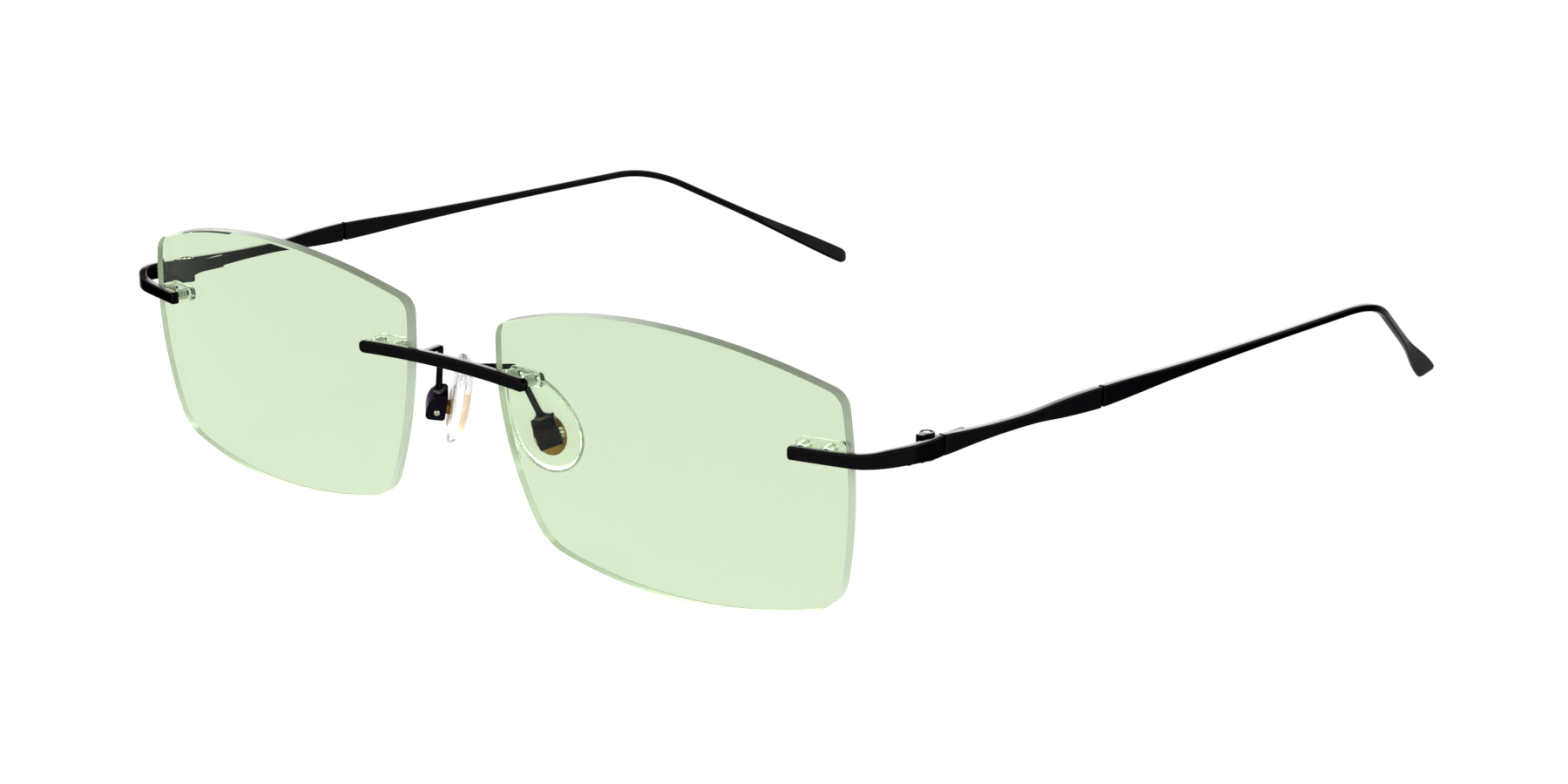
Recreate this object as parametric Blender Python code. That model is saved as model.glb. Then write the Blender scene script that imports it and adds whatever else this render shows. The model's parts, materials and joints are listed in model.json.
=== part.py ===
"""Rimless eyeglasses: two lenses held between a bar bridge and bar endpieces.

Everything is drawn in millimetres for the wearer's left side (+X), then
mirrored to the right side (-X). X runs across the face, Y runs back towards
the ears and Z is up. While drawing, the lens centres lie on Z = 0 and Y = 0 is
the front of the lenses; place() moves the finished glasses so that they stand
on Z = 0 with the origin under the middle of their bounding box.
"""
import math

import bmesh
import bpy
from mathutils import Matrix, Vector

MM = 0.001

# ---- driving dimensions, in millimetres and degrees -------------------------
LENS_BOTTOM = 17.54          # lens centre above the table
MID_LENGTH = 76.25           # front of the lenses to the middle of the length

LENS_OFFSET = 35.7           # lens centre from the middle of the face
LENS_BASE_RADIUS = 126.0     # front curve of the lens
LENS_THICKNESS = 2.0
LENS_BEVEL = 0.2
LENS_WRAP = math.radians(3.3)
LENS_TILT = math.radians(4.7)
# corner centre across, corner centre up, corner radius: from the lower nasal
# corner, round by the lower temple corner to the upper nasal corner
LENS_CORNERS = (
    (-16.1, -9.1, 6.85),
    (20.0, -9.6, 6.0),
    (24.2, 10.8, 2.8),
    (-24.9, 11.3, 2.5),
)
LENS_SIDE_RADII = (91.0, 58.0, 76.0, 50.0)  # bottom, temple, top, nasal sides

BAR_DEPTH = 1.1
BAR_GAP = 0.08               # between a bar and the lens
PLUG_GAP = 0.25              # between the plug flange and the lens

BRIDGE_HALF_LENGTH = 15.2
BRIDGE_HEIGHT = 1.7
BRIDGE_LEVEL = 6.75
BRIDGE_ARCH = 0.5

NASAL_MOUNT = (-23.6, 6.75)  # middle of the two pins, in lens coordinates
TEMPLE_MOUNT = (23.2, 5.9)
PIN_PITCH = 3.4
PIN_RADIUS = 0.42
SLEEVE_RADIUS = 0.72
SLEEVE_BORE_RADIUS = 0.48
LENS_HOLE_RADIUS = 0.8
PLUG_LENGTH = 6.4
PLUG_HEIGHT = 1.9
PLUG_FLANGE = 0.7

ENDPIECE_TIP = -2.85         # start of the bar, along the face from its mount
ENDPIECE_LEVEL = 5.87
HINGE_LEVEL = 6.08
ENDPIECE_BEND_RADIUS = 5.0
ENDPIECE_TOE = math.radians(4.0)
ENDPIECE_HEIGHTS = (         # distance from the tip, height of the bar
    (0, 1.0), (0.12, 1.3), (0.4, 1.65), (6, 1.74), (9, 1.85), (11, 1.95), (13, 2.15),
    (15, 2.25), (17, 2.4), (19, 2.55), (22, 2.62),
)
ENDPIECE_CLIMB = (           # distance from the tip, rise of the centre line
    (0, -0.08), (6, -0.08), (9, 0.0), (11, 0.25), (13, 0.52), (15, 0.62), (17, 0.5),
    (19, 0.3), (20.5, HINGE_LEVEL - ENDPIECE_LEVEL),
)

HINGE_X = 68.8               # middle of the bar where it meets the temple
ENDPIECE_END = 14.8
TEMPLE_START = 15.1
HINGE_AXIS = Vector((HINGE_X - 1.3, ENDPIECE_END - 1.0, 0))
KNUCKLE_RADIUS = 1.0
KNUCKLE_CLEARANCE = 0.08
HINGE_BOTTOM = 4.3
HINGE_TOP = 7.75
HINGE_FOOT = (4.75, 6.85)    # lowest and highest of the foot on the endpiece
HINGE_SLOT = (5.05, 6.95)
HINGE_PLAY = 0.06
HINGE_SCREW_RADIUS = 0.42
HINGE_HEAD = (0.64, 0.36)    # radius and height of the sunk screw head
SCREW_PLAY = 0.05
HINGE_GLUE = 0.06            # solder line between a hinge half and its bar

TEMPLE_DEPTH = 1.15
TEMPLE_JOINT = Vector((70.3, 45.5, 5.52))
TENON = (0.6, 1.4, 3.0)      # thickness, height, length
TEMPLE_CORNER = Vector((70.1, 114.4, 4.2))
TEMPLE_TIP = Vector((58.05, 152.9, -16.5))
TEMPLE_BEND_RADIUS = 28.0
WIRE = 1.1
FRONT_HEIGHTS = (            # distance back, height of the front length
    (15.1, 2.6), (17, 2.42), (19, 2.15), (22, 1.82), (25, 1.6), (28, 1.5), (31, 1.5),
    (33, 1.6), (35, 1.85), (37, 2.15), (39, 2.4), (42, 2.65), (45.2, 2.8), (45.5, 2.45),
)
REAR_HEIGHTS = (             # distance back, height of the rear length
    (45.9, 2.4), (46.2, 2.75), (50, 2.6), (54, 2.35), (58, 2.05), (62, 1.8), (66, 1.62),
    (70, 1.47), (75, 1.32), (82, 1.18), (90, WIRE), (97, WIRE),
)
REAR_DEPTHS = ((45.9, TEMPLE_DEPTH - 0.3), (46.2, TEMPLE_DEPTH), (90, WIRE))
PADDLE = (                   # part of the last straight, depth, height, slant, twist
    (0.2, WIRE, 1.15, 0, 0), (0.45, 1.0, 1.3, 0, 10), (0.57, 0.92, 1.65, 0, 30),
    (0.69, 0.86, 2.3, 0, 42), (0.82, 0.8, 2.95, 3, 46), (0.94, 0.8, 3.1, 9, 45),
    (0.985, 0.78, 2.8, 12, 45), (1.0, 0.6, 2.0, 12, 45),
)

PAD_PIVOT = Vector((10.65, 8.35, -2.65))
PAD_FACING = Vector((-0.65, 0.75, -0.15)).normalized()
PAD_UP_HINT = Vector((-0.36, -0.11, 0.93))
PAD_LENGTH = 14.8
PAD_WIDTH = 8.2
PAD_CENTRE = (-0.3, 2.1)     # pad centre from the pivot: along the screw, up
PAD_LEAN = math.radians(8)   # turn of the soft pad against its metal plate
PAD_PLATE_OFFSET = 1.6       # pivot to the front of the pad's metal plate
PAD_PLATE_THICKNESS = 0.55
PAD_PLATE_RADII = (2.1, 2.8)
PAD_STEM = (0.75, 0.7)       # half width, half height
PAD_SCREW_RADIUS = 0.42
BOX_HALF_WIDTH = 1.55
BOX_LOW = -1.4
BOX_HIGH = 2.7
BOX_FACE = 1.2               # pivot to the open face of the box
BOX_BACK = -1.45

ARM_SIZE = 0.75
ARM_BEND_RADIUS = 0.9

BLACK = ("black_metal", (0.012, 0.012, 0.014, 1.0), 0.9, 0.25)
STEEL = ("screw_steel", (0.62, 0.58, 0.50, 1.0), 1.0, 0.3)
GOLD = ("gold_plate", (0.75, 0.52, 0.22, 1.0), 1.0, 0.3)
SILICONE = ("clear_silicone", (0.86, 0.86, 0.85, 0.5), 0.0, 0.25)
PLUG = ("clear_plug", (0.85, 0.88, 0.84, 0.5), 0.0, 0.2)
TINT = ("tinted_lens", (0.70, 0.82, 0.58, 0.4), 0.0, 0.05)


# ---- scene and mesh helpers -------------------------------------------------
def clear_scene():
    """Remove the start-up objects."""
    for item in list(bpy.data.objects):
        bpy.data.objects.remove(item, do_unlink=True)


def material(spec):
    """Return the material of this spec, made on first use."""
    name, colour, metallic, roughness = spec
    found = bpy.data.materials.get(name)
    if found:
        return found
    made = bpy.data.materials.new(name)
    made.use_nodes = True
    shader = made.node_tree.nodes["Principled BSDF"]
    shader.inputs["Base Color"].default_value = colour
    shader.inputs["Metallic"].default_value = metallic
    shader.inputs["Roughness"].default_value = roughness
    shader.inputs["Alpha"].default_value = colour[3]
    made.diffuse_color = colour
    return made


def make(name, verts, faces, spec=BLACK):
    """Build one object from points in millimetres."""
    mesh = bpy.data.meshes.new(name)
    mesh.from_pydata([tuple(Vector(v) * MM) for v in verts], [], faces)
    work = bmesh.new()
    work.from_mesh(mesh)
    bmesh.ops.recalc_face_normals(work, faces=work.faces)
    work.to_mesh(mesh)
    work.free()
    mesh.materials.append(material(spec))
    made = bpy.data.objects.new(name, mesh)
    bpy.context.collection.objects.link(made)
    return made


def combine(target, tools, operation):
    """Join or cut the target with each tool, then remove the tools."""
    for tool in tools:
        step = target.modifiers.new("step", "BOOLEAN")
        step.operation = operation
        step.solver = "EXACT"
        step.object = tool
        bpy.context.view_layer.update()
        graph = bpy.context.evaluated_depsgraph_get()
        result = bpy.data.meshes.new_from_object(target.evaluated_get(graph))
        target.modifiers.clear()
        target.data = result
        bpy.data.objects.remove(tool, do_unlink=True)
    target.data.name = target.name
    return target


def loft(loops):
    """Skin a list of equal closed loops and close both ends."""
    count = len(loops[0])
    verts = [point for loop in loops for point in loop]
    faces = []
    for row in range(len(loops) - 1):
        for i in range(count):
            a = row * count + i
            b = row * count + (i + 1) % count
            faces.append((a, b, b + count, a + count))
    faces.append(tuple(range(count)))
    faces.append(tuple(range(len(verts) - count, len(verts))))
    return verts, faces


def rounded_section(centre, side, up, depth, height, radius):
    """Twelve points of a rectangle with rounded corners."""
    radius = min(radius, depth / 2 - 0.02, height / 2 - 0.02)
    loop = []
    for quarter, (sx, sy) in enumerate(((1, 1), (-1, 1), (-1, -1), (1, -1))):
        for step in (0, 1, 2):
            angle = math.radians(90 * quarter + 45 * step)
            across = sx * (depth / 2 - radius) + radius * math.cos(angle)
            rise = sy * (height / 2 - radius) + radius * math.sin(angle)
            loop.append(centre + side * across + up * rise)
    return loop


def sweep(stations):
    """Loft (centre, direction, depth, height, corner radius, twist) stations."""
    loops = []
    for centre, direction, depth, height, radius, twist in stations:
        direction = direction.normalized()
        turn = Matrix.Rotation(math.radians(twist), 3, direction)
        side = direction.cross(Vector((0, 0, 1))).normalized()
        up = turn @ side.cross(direction)
        loops.append(rounded_section(centre, turn @ side, up, depth, height, radius))
    return loft(loops)


def disc(centre, axis, radius, start, end, sides=20):
    """A cylinder along an axis, from start to end millimetres."""
    axis = axis.normalized()
    turn = Vector((0, 0, 1)).rotation_difference(axis).to_matrix()
    loops = []
    for reach in (start, end):
        loop = []
        for i in range(sides):
            angle = 2 * math.pi * (i + 0.5) / sides
            ring = Vector((radius * math.cos(angle), radius * math.sin(angle), 0))
            loop.append(centre + turn @ ring + axis * reach)
        loops.append(loop)
    return loft(loops)


def block(frame, low, high):
    """A box between two corners given in a local frame."""
    loops = []
    for z in (low[2], high[2]):
        flat = ((low[0], low[1]), (high[0], low[1]), (high[0], high[1]), (low[0], high[1]))
        loops.append([frame @ Vector((x, y, z)) for x, y in flat])
    return loft(loops)


def frame_from(origin, x_axis, y_axis, z_axis):
    """A matrix whose columns are the given axes, at the given origin."""
    turn = Matrix((x_axis, y_axis, z_axis)).transposed().to_4x4()
    return Matrix.Translation(origin) @ turn


def blend(table, x):
    """Value at x on straight lines between (position, value) pairs."""
    if x <= table[0][0]:
        return table[0][1]
    for (x0, v0), (x1, v1) in zip(table, table[1:]):
        if x <= x1:
            t = (x - x0) / (x1 - x0)
            return v0 + (v1 - v0) * t
    return table[-1][1]


def bend(corner, way_in, way_out, radius, steps):
    """Points and directions round an arc that takes off a corner."""
    turn = way_in.angle(way_out)
    axis = way_in.cross(way_out).normalized()
    inward = axis.cross(way_in)
    centre = corner - way_in * radius * math.tan(turn / 2) + inward * radius
    places = []
    for step in range(steps + 1):
        spin = Matrix.Rotation(turn * step / steps, 3, axis)
        places.append((centre - spin @ inward * radius, spin @ way_in))
    return places


def ellipse(frame, half_width, half_height, y, count=24):
    """Points of an upright ellipse in a local frame, at distance y."""
    points = []
    for i in range(count):
        angle = 2 * math.pi * i / count
        points.append(frame @ Vector((half_width * math.cos(angle), y, half_height * math.sin(angle))))
    return points


def rounded_bar_end(frame, length, height, radius, y, steps=4):
    """Points of an upright rectangle with round corners, at distance y."""
    loop = []
    for quarter, (sx, sz) in enumerate(((1, 1), (-1, 1), (-1, -1), (1, -1))):
        for step in range(steps + 1):
            angle = math.pi / 2 * (quarter + step / steps)
            x = sx * (length / 2 - radius) + radius * math.cos(angle)
            z = sz * (height / 2 - radius) + radius * math.sin(angle)
            loop.append(frame @ Vector((x, y, z)))
    return loop


# ---- lens -------------------------------------------------------------------
def arc_centre(first, second, radius):
    """Centre of a side arc that is tangent to two corner arcs."""
    reach_1 = radius - first[2]
    reach_2 = radius - second[2]
    start = Vector(first[:2])
    span = Vector(second[:2]) - start
    along = (span.length_squared + reach_1 ** 2 - reach_2 ** 2) / (2 * span.length)
    inward = math.sqrt(reach_1 ** 2 - along ** 2)
    unit = span.normalized()
    return start + unit * along + Vector((-unit.y, unit.x)) * inward


def lens_outline(inset=0.0, corner_steps=5, side_steps=9):
    """Outline points of the lens, optionally offset inwards."""
    corners = [(x, y, radius - inset) for x, y, radius in LENS_CORNERS]
    radii = [radius - inset for radius in LENS_SIDE_RADII]
    centres = [arc_centre(corners[i], corners[(i + 1) % 4], radii[i]) for i in range(4)]
    points = []
    for i, corner in enumerate(corners):
        middle = Vector(corner[:2])
        before = middle - centres[i - 1]
        after = middle - centres[i]
        turn = math.atan2(before.x * after.y - before.y * after.x, before.dot(after))
        first = math.atan2(before.y, before.x)
        for step in range(corner_steps):
            angle = first + turn * step / corner_steps
            points.append(middle + Vector((math.cos(angle), math.sin(angle))) * corner[2])
        next_middle = Vector(corners[(i + 1) % 4][:2])
        reach = next_middle - centres[i]
        turn = math.atan2(after.x * reach.y - after.y * reach.x, after.dot(reach))
        first = math.atan2(after.y, after.x)
        for step in range(side_steps):
            angle = first + turn * step / side_steps
            points.append(centres[i] + Vector((math.cos(angle), math.sin(angle))) * radii[i])
    return points


def lens_axes():
    """Across, up and front directions of the lens."""
    across = Vector((math.cos(LENS_WRAP), math.sin(LENS_WRAP), 0))
    level_front = Vector((math.sin(LENS_WRAP), -math.cos(LENS_WRAP), 0))
    up = Vector((0, 0, math.cos(LENS_TILT))) + level_front * math.sin(LENS_TILT)
    front = level_front * math.cos(LENS_TILT) - Vector((0, 0, math.sin(LENS_TILT)))
    return across, up, front


def lens_point(u, v, depth=0.0):
    """A point on the lens front curve, or behind it by depth."""
    across, up, front = lens_axes()
    sag = (u * u + v * v) / (2 * LENS_BASE_RADIUS)
    return Vector((LENS_OFFSET, 0, 0)) + across * u + up * v - front * (sag + depth)


def mount_frame(u, v):
    """Frame on the lens front: X along the face, Y backwards, Z up."""
    origin = lens_point(u, v)
    x_axis = lens_point(u + 1, v) - lens_point(u - 1, v)
    x_axis.z = 0
    x_axis.normalize()
    return frame_from(origin, x_axis, Vector((-x_axis.y, x_axis.x, 0)), Vector((0, 0, 1)))


def pin_places(frame):
    """Where the two pins of a mount cross the lens front."""
    return [frame @ Vector((side * PIN_PITCH / 2, 0, 0)) for side in (-1, 1)]


def make_lens():
    """A curved lens with a bevelled edge and four pin holes."""
    rim = lens_outline()
    bevel = lens_outline(inset=LENS_BEVEL)
    loops = []
    for depth, bevel_depth in ((0.0, LENS_BEVEL), (LENS_THICKNESS, LENS_THICKNESS - LENS_BEVEL)):
        face = [[lens_point(p.x * f, p.y * f, depth) for p in bevel] for f in (0.25, 0.62, 1.0)]
        face.append([lens_point(p.x, p.y, bevel_depth) for p in rim])
        loops.extend(face if depth == 0.0 else reversed(face))
    lens = make("lens_left", *loft(loops), TINT)
    holes = []
    for u, v in (NASAL_MOUNT, TEMPLE_MOUNT):
        frame = mount_frame(u, v)
        back = frame.col[1].to_3d()
        for place in pin_places(frame):
            holes.append(make("hole", *disc(place, back, LENS_HOLE_RADIUS, -2, 5)))
    return combine(lens, holes, "DIFFERENCE")


def make_plug(name, u, v):
    """Clear double bushing: a flange behind the lens and two sleeves in it."""
    frame = mount_frame(u, v)
    back = frame.col[1].to_3d()
    near = LENS_THICKNESS + PLUG_GAP
    radius = PLUG_HEIGHT / 2 - 0.1
    ends = (near, near + PLUG_FLANGE)
    loops = [rounded_bar_end(frame, PLUG_LENGTH, PLUG_HEIGHT, radius, y) for y in ends]
    plug = make(name, *loft(loops), PLUG)
    sleeves = []
    bores = []
    for place in pin_places(frame):
        sleeves.append(make("sleeve", *disc(place, back, SLEEVE_RADIUS, 0.25, near + 0.3)))
        bores.append(make("bore", *disc(place, back, SLEEVE_BORE_RADIUS, -1, 6)))
    combine(plug, sleeves, "UNION")
    return combine(plug, bores, "DIFFERENCE")


# ---- bridge and endpieces ---------------------------------------------------
def mount_pins(frame, start):
    """The two pins of a bar, from inside the bar to behind the plug."""
    back = frame.col[1].to_3d()
    end = LENS_THICKNESS + PLUG_FLANGE + 0.3
    return [make("pin", *disc(place, back, PIN_RADIUS, start, end)) for place in pin_places(frame)]


def bridge_centre(x):
    """Centre line of the bridge bar."""
    arch = 1 - (x / BRIDGE_HALF_LENGTH) ** 2
    return Vector((x, -0.62 + 0.3 * arch, BRIDGE_LEVEL + BRIDGE_ARCH * arch))


def mirrored_mesh(source, name):
    """A copy of an object, mirrored across the face."""
    mesh = source.data.copy()
    mesh.name = name
    mesh.transform(Matrix.Scale(-1, 4, Vector((1, 0, 0))))
    mesh.flip_normals()
    made = bpy.data.objects.new(name, mesh)
    bpy.context.collection.objects.link(made)
    return made


def make_bridge():
    """Round-ended bar across both lenses, with two pins into each."""
    stations = []
    half = BRIDGE_HALF_LENGTH
    end_radius = BRIDGE_HEIGHT / 2
    inner = half - end_radius
    ends = [inner + end_radius * math.sin(math.radians(a)) for a in (84, 65, 40, 0)]
    places = [-x for x in ends]
    places += [inner * (i / 6 - 1) for i in range(1, 12)]
    places += list(reversed(ends))
    for x in places:
        over = max(0.0, abs(x) - inner)
        height = 2 * math.sqrt(end_radius ** 2 - over ** 2)
        direction = bridge_centre(x + 0.1) - bridge_centre(x - 0.1)
        stations.append((bridge_centre(x), direction, BAR_DEPTH, height, 0.25, 0))
    bridge = make("bridge", *sweep(stations))
    left_pins = mount_pins(mount_frame(*NASAL_MOUNT), -0.9)
    right_pins = [mirrored_mesh(pin, "pin") for pin in left_pins]
    return combine(bridge, left_pins + right_pins, "UNION")


def endpiece_path():
    """Points and directions along the endpiece, from its tip to the hinge."""
    frame = mount_frame(*TEMPLE_MOUNT)
    along = frame.col[0].to_3d()
    back = Vector((-math.sin(ENDPIECE_TOE), math.cos(ENDPIECE_TOE), 0))
    tip = frame @ Vector((ENDPIECE_TIP, -BAR_GAP - BAR_DEPTH / 2, 0))
    tip.z = ENDPIECE_LEVEL
    end = Vector((HINGE_X, ENDPIECE_END, ENDPIECE_LEVEL))
    gap = end - tip
    reach = (gap.x * back.y - gap.y * back.x) / (along.x * back.y - along.y * back.x)
    path = [(tip + along * s, along) for s in (0, 0.12, 0.4, 3.5)]
    path += bend(tip + along * reach, along, back, ENDPIECE_BEND_RADIUS, 8)
    path += [(end - back * 2.5, back), (end, back)]
    return path


def make_endpiece():
    """Bar from the lens front round to the hinge, with two pins."""
    path = endpiece_path()
    travelled = 0.0
    stations = []
    for index, (point, direction) in enumerate(path):
        if index:
            travelled += (point - path[index - 1][0]).length
        centre = point + Vector((0, 0, blend(ENDPIECE_CLIMB, travelled)))
        height = blend(ENDPIECE_HEIGHTS, travelled)
        stations.append((centre, direction, BAR_DEPTH, height, 0.22, 0))
    endpiece = make("endpiece_left", *sweep(stations))
    combine(endpiece, mount_pins(mount_frame(*TEMPLE_MOUNT), -0.6), "UNION")
    room = disc(HINGE_AXIS, Vector((0, 0, 1)), KNUCKLE_RADIUS + KNUCKLE_CLEARANCE, 0, 12, 40)
    return combine(endpiece, [make("room", *room)], "DIFFERENCE")


# ---- hinge ------------------------------------------------------------------
def knuckle_outline(inner, outer, near, far):
    """Plan outline of a knuckle disc that widens into a plate.

    All sizes are measured from the hinge axis: the plate lies between inner
    and outer across the face and between near and far along the temple.
    """
    facing = 1 if far > 0 else -1
    first = -math.acos(outer / KNUCKLE_RADIUS)
    points = []
    for step in range(15):
        angle = first + (math.pi - first) * step / 14
        swing = Vector((math.cos(angle), -facing * math.sin(angle), 0)) * KNUCKLE_RADIUS
        points.append(HINGE_AXIS + swing)
    for x, y in ((inner, near), (inner, far), (outer, far)):
        points.append(HINGE_AXIS + Vector((x, y, 0)))
    return points


def prism(points, low, high):
    """A flat outline raised between two heights."""
    return loft([[Vector((point.x, point.y, z)) for point in points] for z in (low, high)])


def hinge_bore(radius=HINGE_SCREW_RADIUS, low=0.0):
    """Cutter for a screw hole up through the hinge halves."""
    return make("bore", *disc(HINGE_AXIS, Vector((0, 0, 1)), radius + SCREW_PLAY, low, 12))


def make_hinge_frame():
    """Fixed hinge half: a foot on the endpiece and a barrel with a slot."""
    outer = HINGE_X - HINGE_AXIS.x - BAR_DEPTH / 2 - HINGE_GLUE
    barrel = knuckle_outline(-0.3, outer, -1.2, -1.7)
    half = make("hinge_frame_left", *prism(barrel, HINGE_BOTTOM, HINGE_TOP))
    bar_end = Matrix.Translation((HINGE_X, ENDPIECE_END, 0)) @ Matrix.Rotation(ENDPIECE_TOE, 4, "Z")
    inner_face = -BAR_DEPTH / 2 - HINGE_GLUE
    foot_low = (inner_face - 0.9, -5.6, HINGE_FOOT[0])
    foot_high = (inner_face, -1.9, HINGE_FOOT[1])
    foot = make("foot", *block(bar_end, foot_low, foot_high))
    combine(half, [foot], "UNION")
    slot_low = HINGE_AXIS + Vector((-2, -KNUCKLE_RADIUS - 0.1, HINGE_SLOT[0]))
    slot_high = HINGE_AXIS + Vector((2, 3, HINGE_SLOT[1]))
    slot = make("slot", *block(Matrix.Identity(4), slot_low, slot_high))
    head_radius, head_height = HINGE_HEAD
    seat = hinge_bore(head_radius, HINGE_TOP - head_height)
    return combine(half, [slot, hinge_bore(), seat], "DIFFERENCE")


def make_hinge_temple():
    """Moving hinge half: a plate on the temple with the middle knuckle."""
    outer = HINGE_X - HINGE_AXIS.x - TEMPLE_DEPTH / 2 - HINGE_GLUE
    outline = knuckle_outline(0.1, outer, 2.6, 6.6)
    low = HINGE_SLOT[0] + HINGE_PLAY
    high = HINGE_SLOT[1] - HINGE_PLAY
    half = make("hinge_temple_left", *prism(outline, low, high))
    return combine(half, [hinge_bore()], "DIFFERENCE")


def make_hinge_screw():
    """Slotted screw, its head sunk in the top of the hinge."""
    up = Vector((0, 0, 1))
    radius, height = HINGE_HEAD
    top = HINGE_TOP - SCREW_PLAY
    seat = HINGE_TOP - height + SCREW_PLAY
    shank = disc(HINGE_AXIS, up, HINGE_SCREW_RADIUS, HINGE_BOTTOM, top - 0.1)
    screw = make("hinge_screw_left", *shank, STEEL)
    head = make("head", *disc(HINGE_AXIS, up, radius, seat, top, 24))
    combine(screw, [head], "UNION")
    frame = Matrix.Translation(HINGE_AXIS + up * top) @ Matrix.Rotation(math.radians(40), 4, "Z")
    slot = make("slot", *block(frame, (-1.2, -0.11, -0.14), (1.2, 0.11, 1)))
    return combine(screw, [slot], "DIFFERENCE")


# ---- temple -----------------------------------------------------------------
def tenon_block(clearance, front, rear):
    """Rectangular tongue about the temple joint, or the socket it enters."""
    depth, height = (size + clearance for size in TENON[:2])
    frame = Matrix.Translation(TEMPLE_JOINT)
    return block(frame, (-depth / 2, -front, -height / 2), (depth / 2, rear, height / 2))


def make_temple_front():
    """Waisted front length of the temple, with a socket at its rear end."""
    start = Vector((HINGE_X, TEMPLE_START, HINGE_LEVEL))
    way = (TEMPLE_JOINT - start).normalized()
    stations = []
    for y, height in FRONT_HEIGHTS:
        depth = TEMPLE_DEPTH - (0.3 if y == FRONT_HEIGHTS[-1][0] else 0)
        centre = start + way * ((y - TEMPLE_START) / way.y)
        stations.append((centre, way, depth, height, 0.2, 0))
    front = make("temple_front_left", *sweep(stations))
    socket = make("socket", *tenon_block(0.1, TENON[2] + 0.1, 1))
    return combine(front, [socket], "DIFFERENCE")


def rear_stations():
    """Sweep stations of the rear length: straight, bent down, paddle tip."""
    way_in = (TEMPLE_CORNER - TEMPLE_JOINT).normalized()
    way_out = (TEMPLE_TIP - TEMPLE_CORNER).normalized()
    level = way_out.cross(Vector((0, 0, 1))).normalized()
    stations = []
    for y, height in REAR_HEIGHTS:
        point = TEMPLE_JOINT + way_in * ((y - TEMPLE_JOINT.y) / way_in.y)
        depth = blend(REAR_DEPTHS, y)
        stations.append((point, way_in, depth, height, 0.2 if y < 62 else 0.3, 0))
    arc = bend(TEMPLE_CORNER, way_in, way_out, TEMPLE_BEND_RADIUS, 8)
    stations += [(point, way, WIRE, WIRE, 0.3, 0) for point, way in arc]
    for part, depth, height, slant, twist in PADDLE:
        way = Matrix.Rotation(math.radians(-slant), 3, level) @ way_out
        stations.append((arc[-1][0].lerp(TEMPLE_TIP, part), way, depth, height, 0.34, twist))
    return stations


def make_temple_rear():
    """Tapering rear length, bent down behind the ear to a flat paddle tip."""
    rear = make("temple_rear_left", *sweep(rear_stations()))
    tenon = make("tenon", *tenon_block(0, TENON[2], 1.2))
    return combine(rear, [tenon], "UNION")


# ---- nose pads --------------------------------------------------------------
def pad_frame():
    """Frame on the pad pivot: X along the screw, Y to the nose, Z up the pad."""
    up = (PAD_UP_HINT - PAD_FACING * PAD_UP_HINT.dot(PAD_FACING)).normalized()
    across = PAD_FACING.cross(up)
    return frame_from(PAD_PIVOT, across, PAD_FACING, up)


def pad_bore():
    """Cutter for the screw hole through the box and the pad stem."""
    across = pad_frame().col[0].to_3d()
    return make("bore", *disc(PAD_PIVOT, across, PAD_SCREW_RADIUS + SCREW_PLAY, -3, 3))


def make_pad_box():
    """D-shaped box that holds the pad stem, open towards the nose."""
    frame = pad_frame()
    belly = 0.75 - BOX_BACK
    profile = [(BOX_FACE, BOX_LOW + 0.35), (BOX_FACE, BOX_HIGH - 0.35), (BOX_FACE - 0.35, BOX_HIGH)]
    for step in range(8):
        angle = math.radians(90 * step / 7)
        y = 0.75 - belly * math.sin(angle) ** 0.8
        profile.append((y, -0.2 + (BOX_HIGH + 0.2) * math.cos(angle)))
    profile += [(BOX_BACK + 0.25, BOX_LOW + 0.45), (BOX_BACK + 0.75, BOX_LOW), (BOX_FACE - 0.35, BOX_LOW)]
    sides = (-BOX_HALF_WIDTH, BOX_HALF_WIDTH)
    box = make("pad_box_left", *loft([[frame @ Vector((x, y, z)) for y, z in profile] for x in sides]))
    cavity = make("cavity", *block(frame, (-0.85, -1.0, BOX_LOW + 0.3), (0.85, 2, 1.25)))
    return combine(box, [cavity, pad_bore()], "DIFFERENCE")


def make_pad_core():
    """Oval metal plate inside the pad, with the stem that the screw holds."""
    frame = pad_frame()
    across = frame.col[0].to_3d()
    ends = (PAD_PLATE_OFFSET, PAD_PLATE_OFFSET + PAD_PLATE_THICKNESS)
    core = make("pad_core_left", *loft([ellipse(frame, *PAD_PLATE_RADII, y) for y in ends]), GOLD)
    half_width, half_height = PAD_STEM
    eye = make("eye", *disc(PAD_PIVOT, across, 0.85, -half_width, half_width))
    stem_high = (half_width, PAD_PLATE_OFFSET + 0.2, half_height)
    stem = make("stem", *block(frame, (-half_width, 0, -half_height), stem_high))
    combine(core, [eye, stem], "UNION")
    return combine(core, [pad_bore()], "DIFFERENCE")


def pad_rim():
    """Teardrop outline of the pad: narrower above, wider below."""
    points = []
    lean = Matrix.Rotation(PAD_LEAN, 2)
    for i in range(32):
        angle = 2 * math.pi * i / 32
        rise = math.sin(angle)
        x = PAD_WIDTH / 2 * math.cos(angle) * (1 - 0.2 * rise)
        points.append(lean @ Vector((x, PAD_LENGTH / 2 * rise)))
    return points


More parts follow.
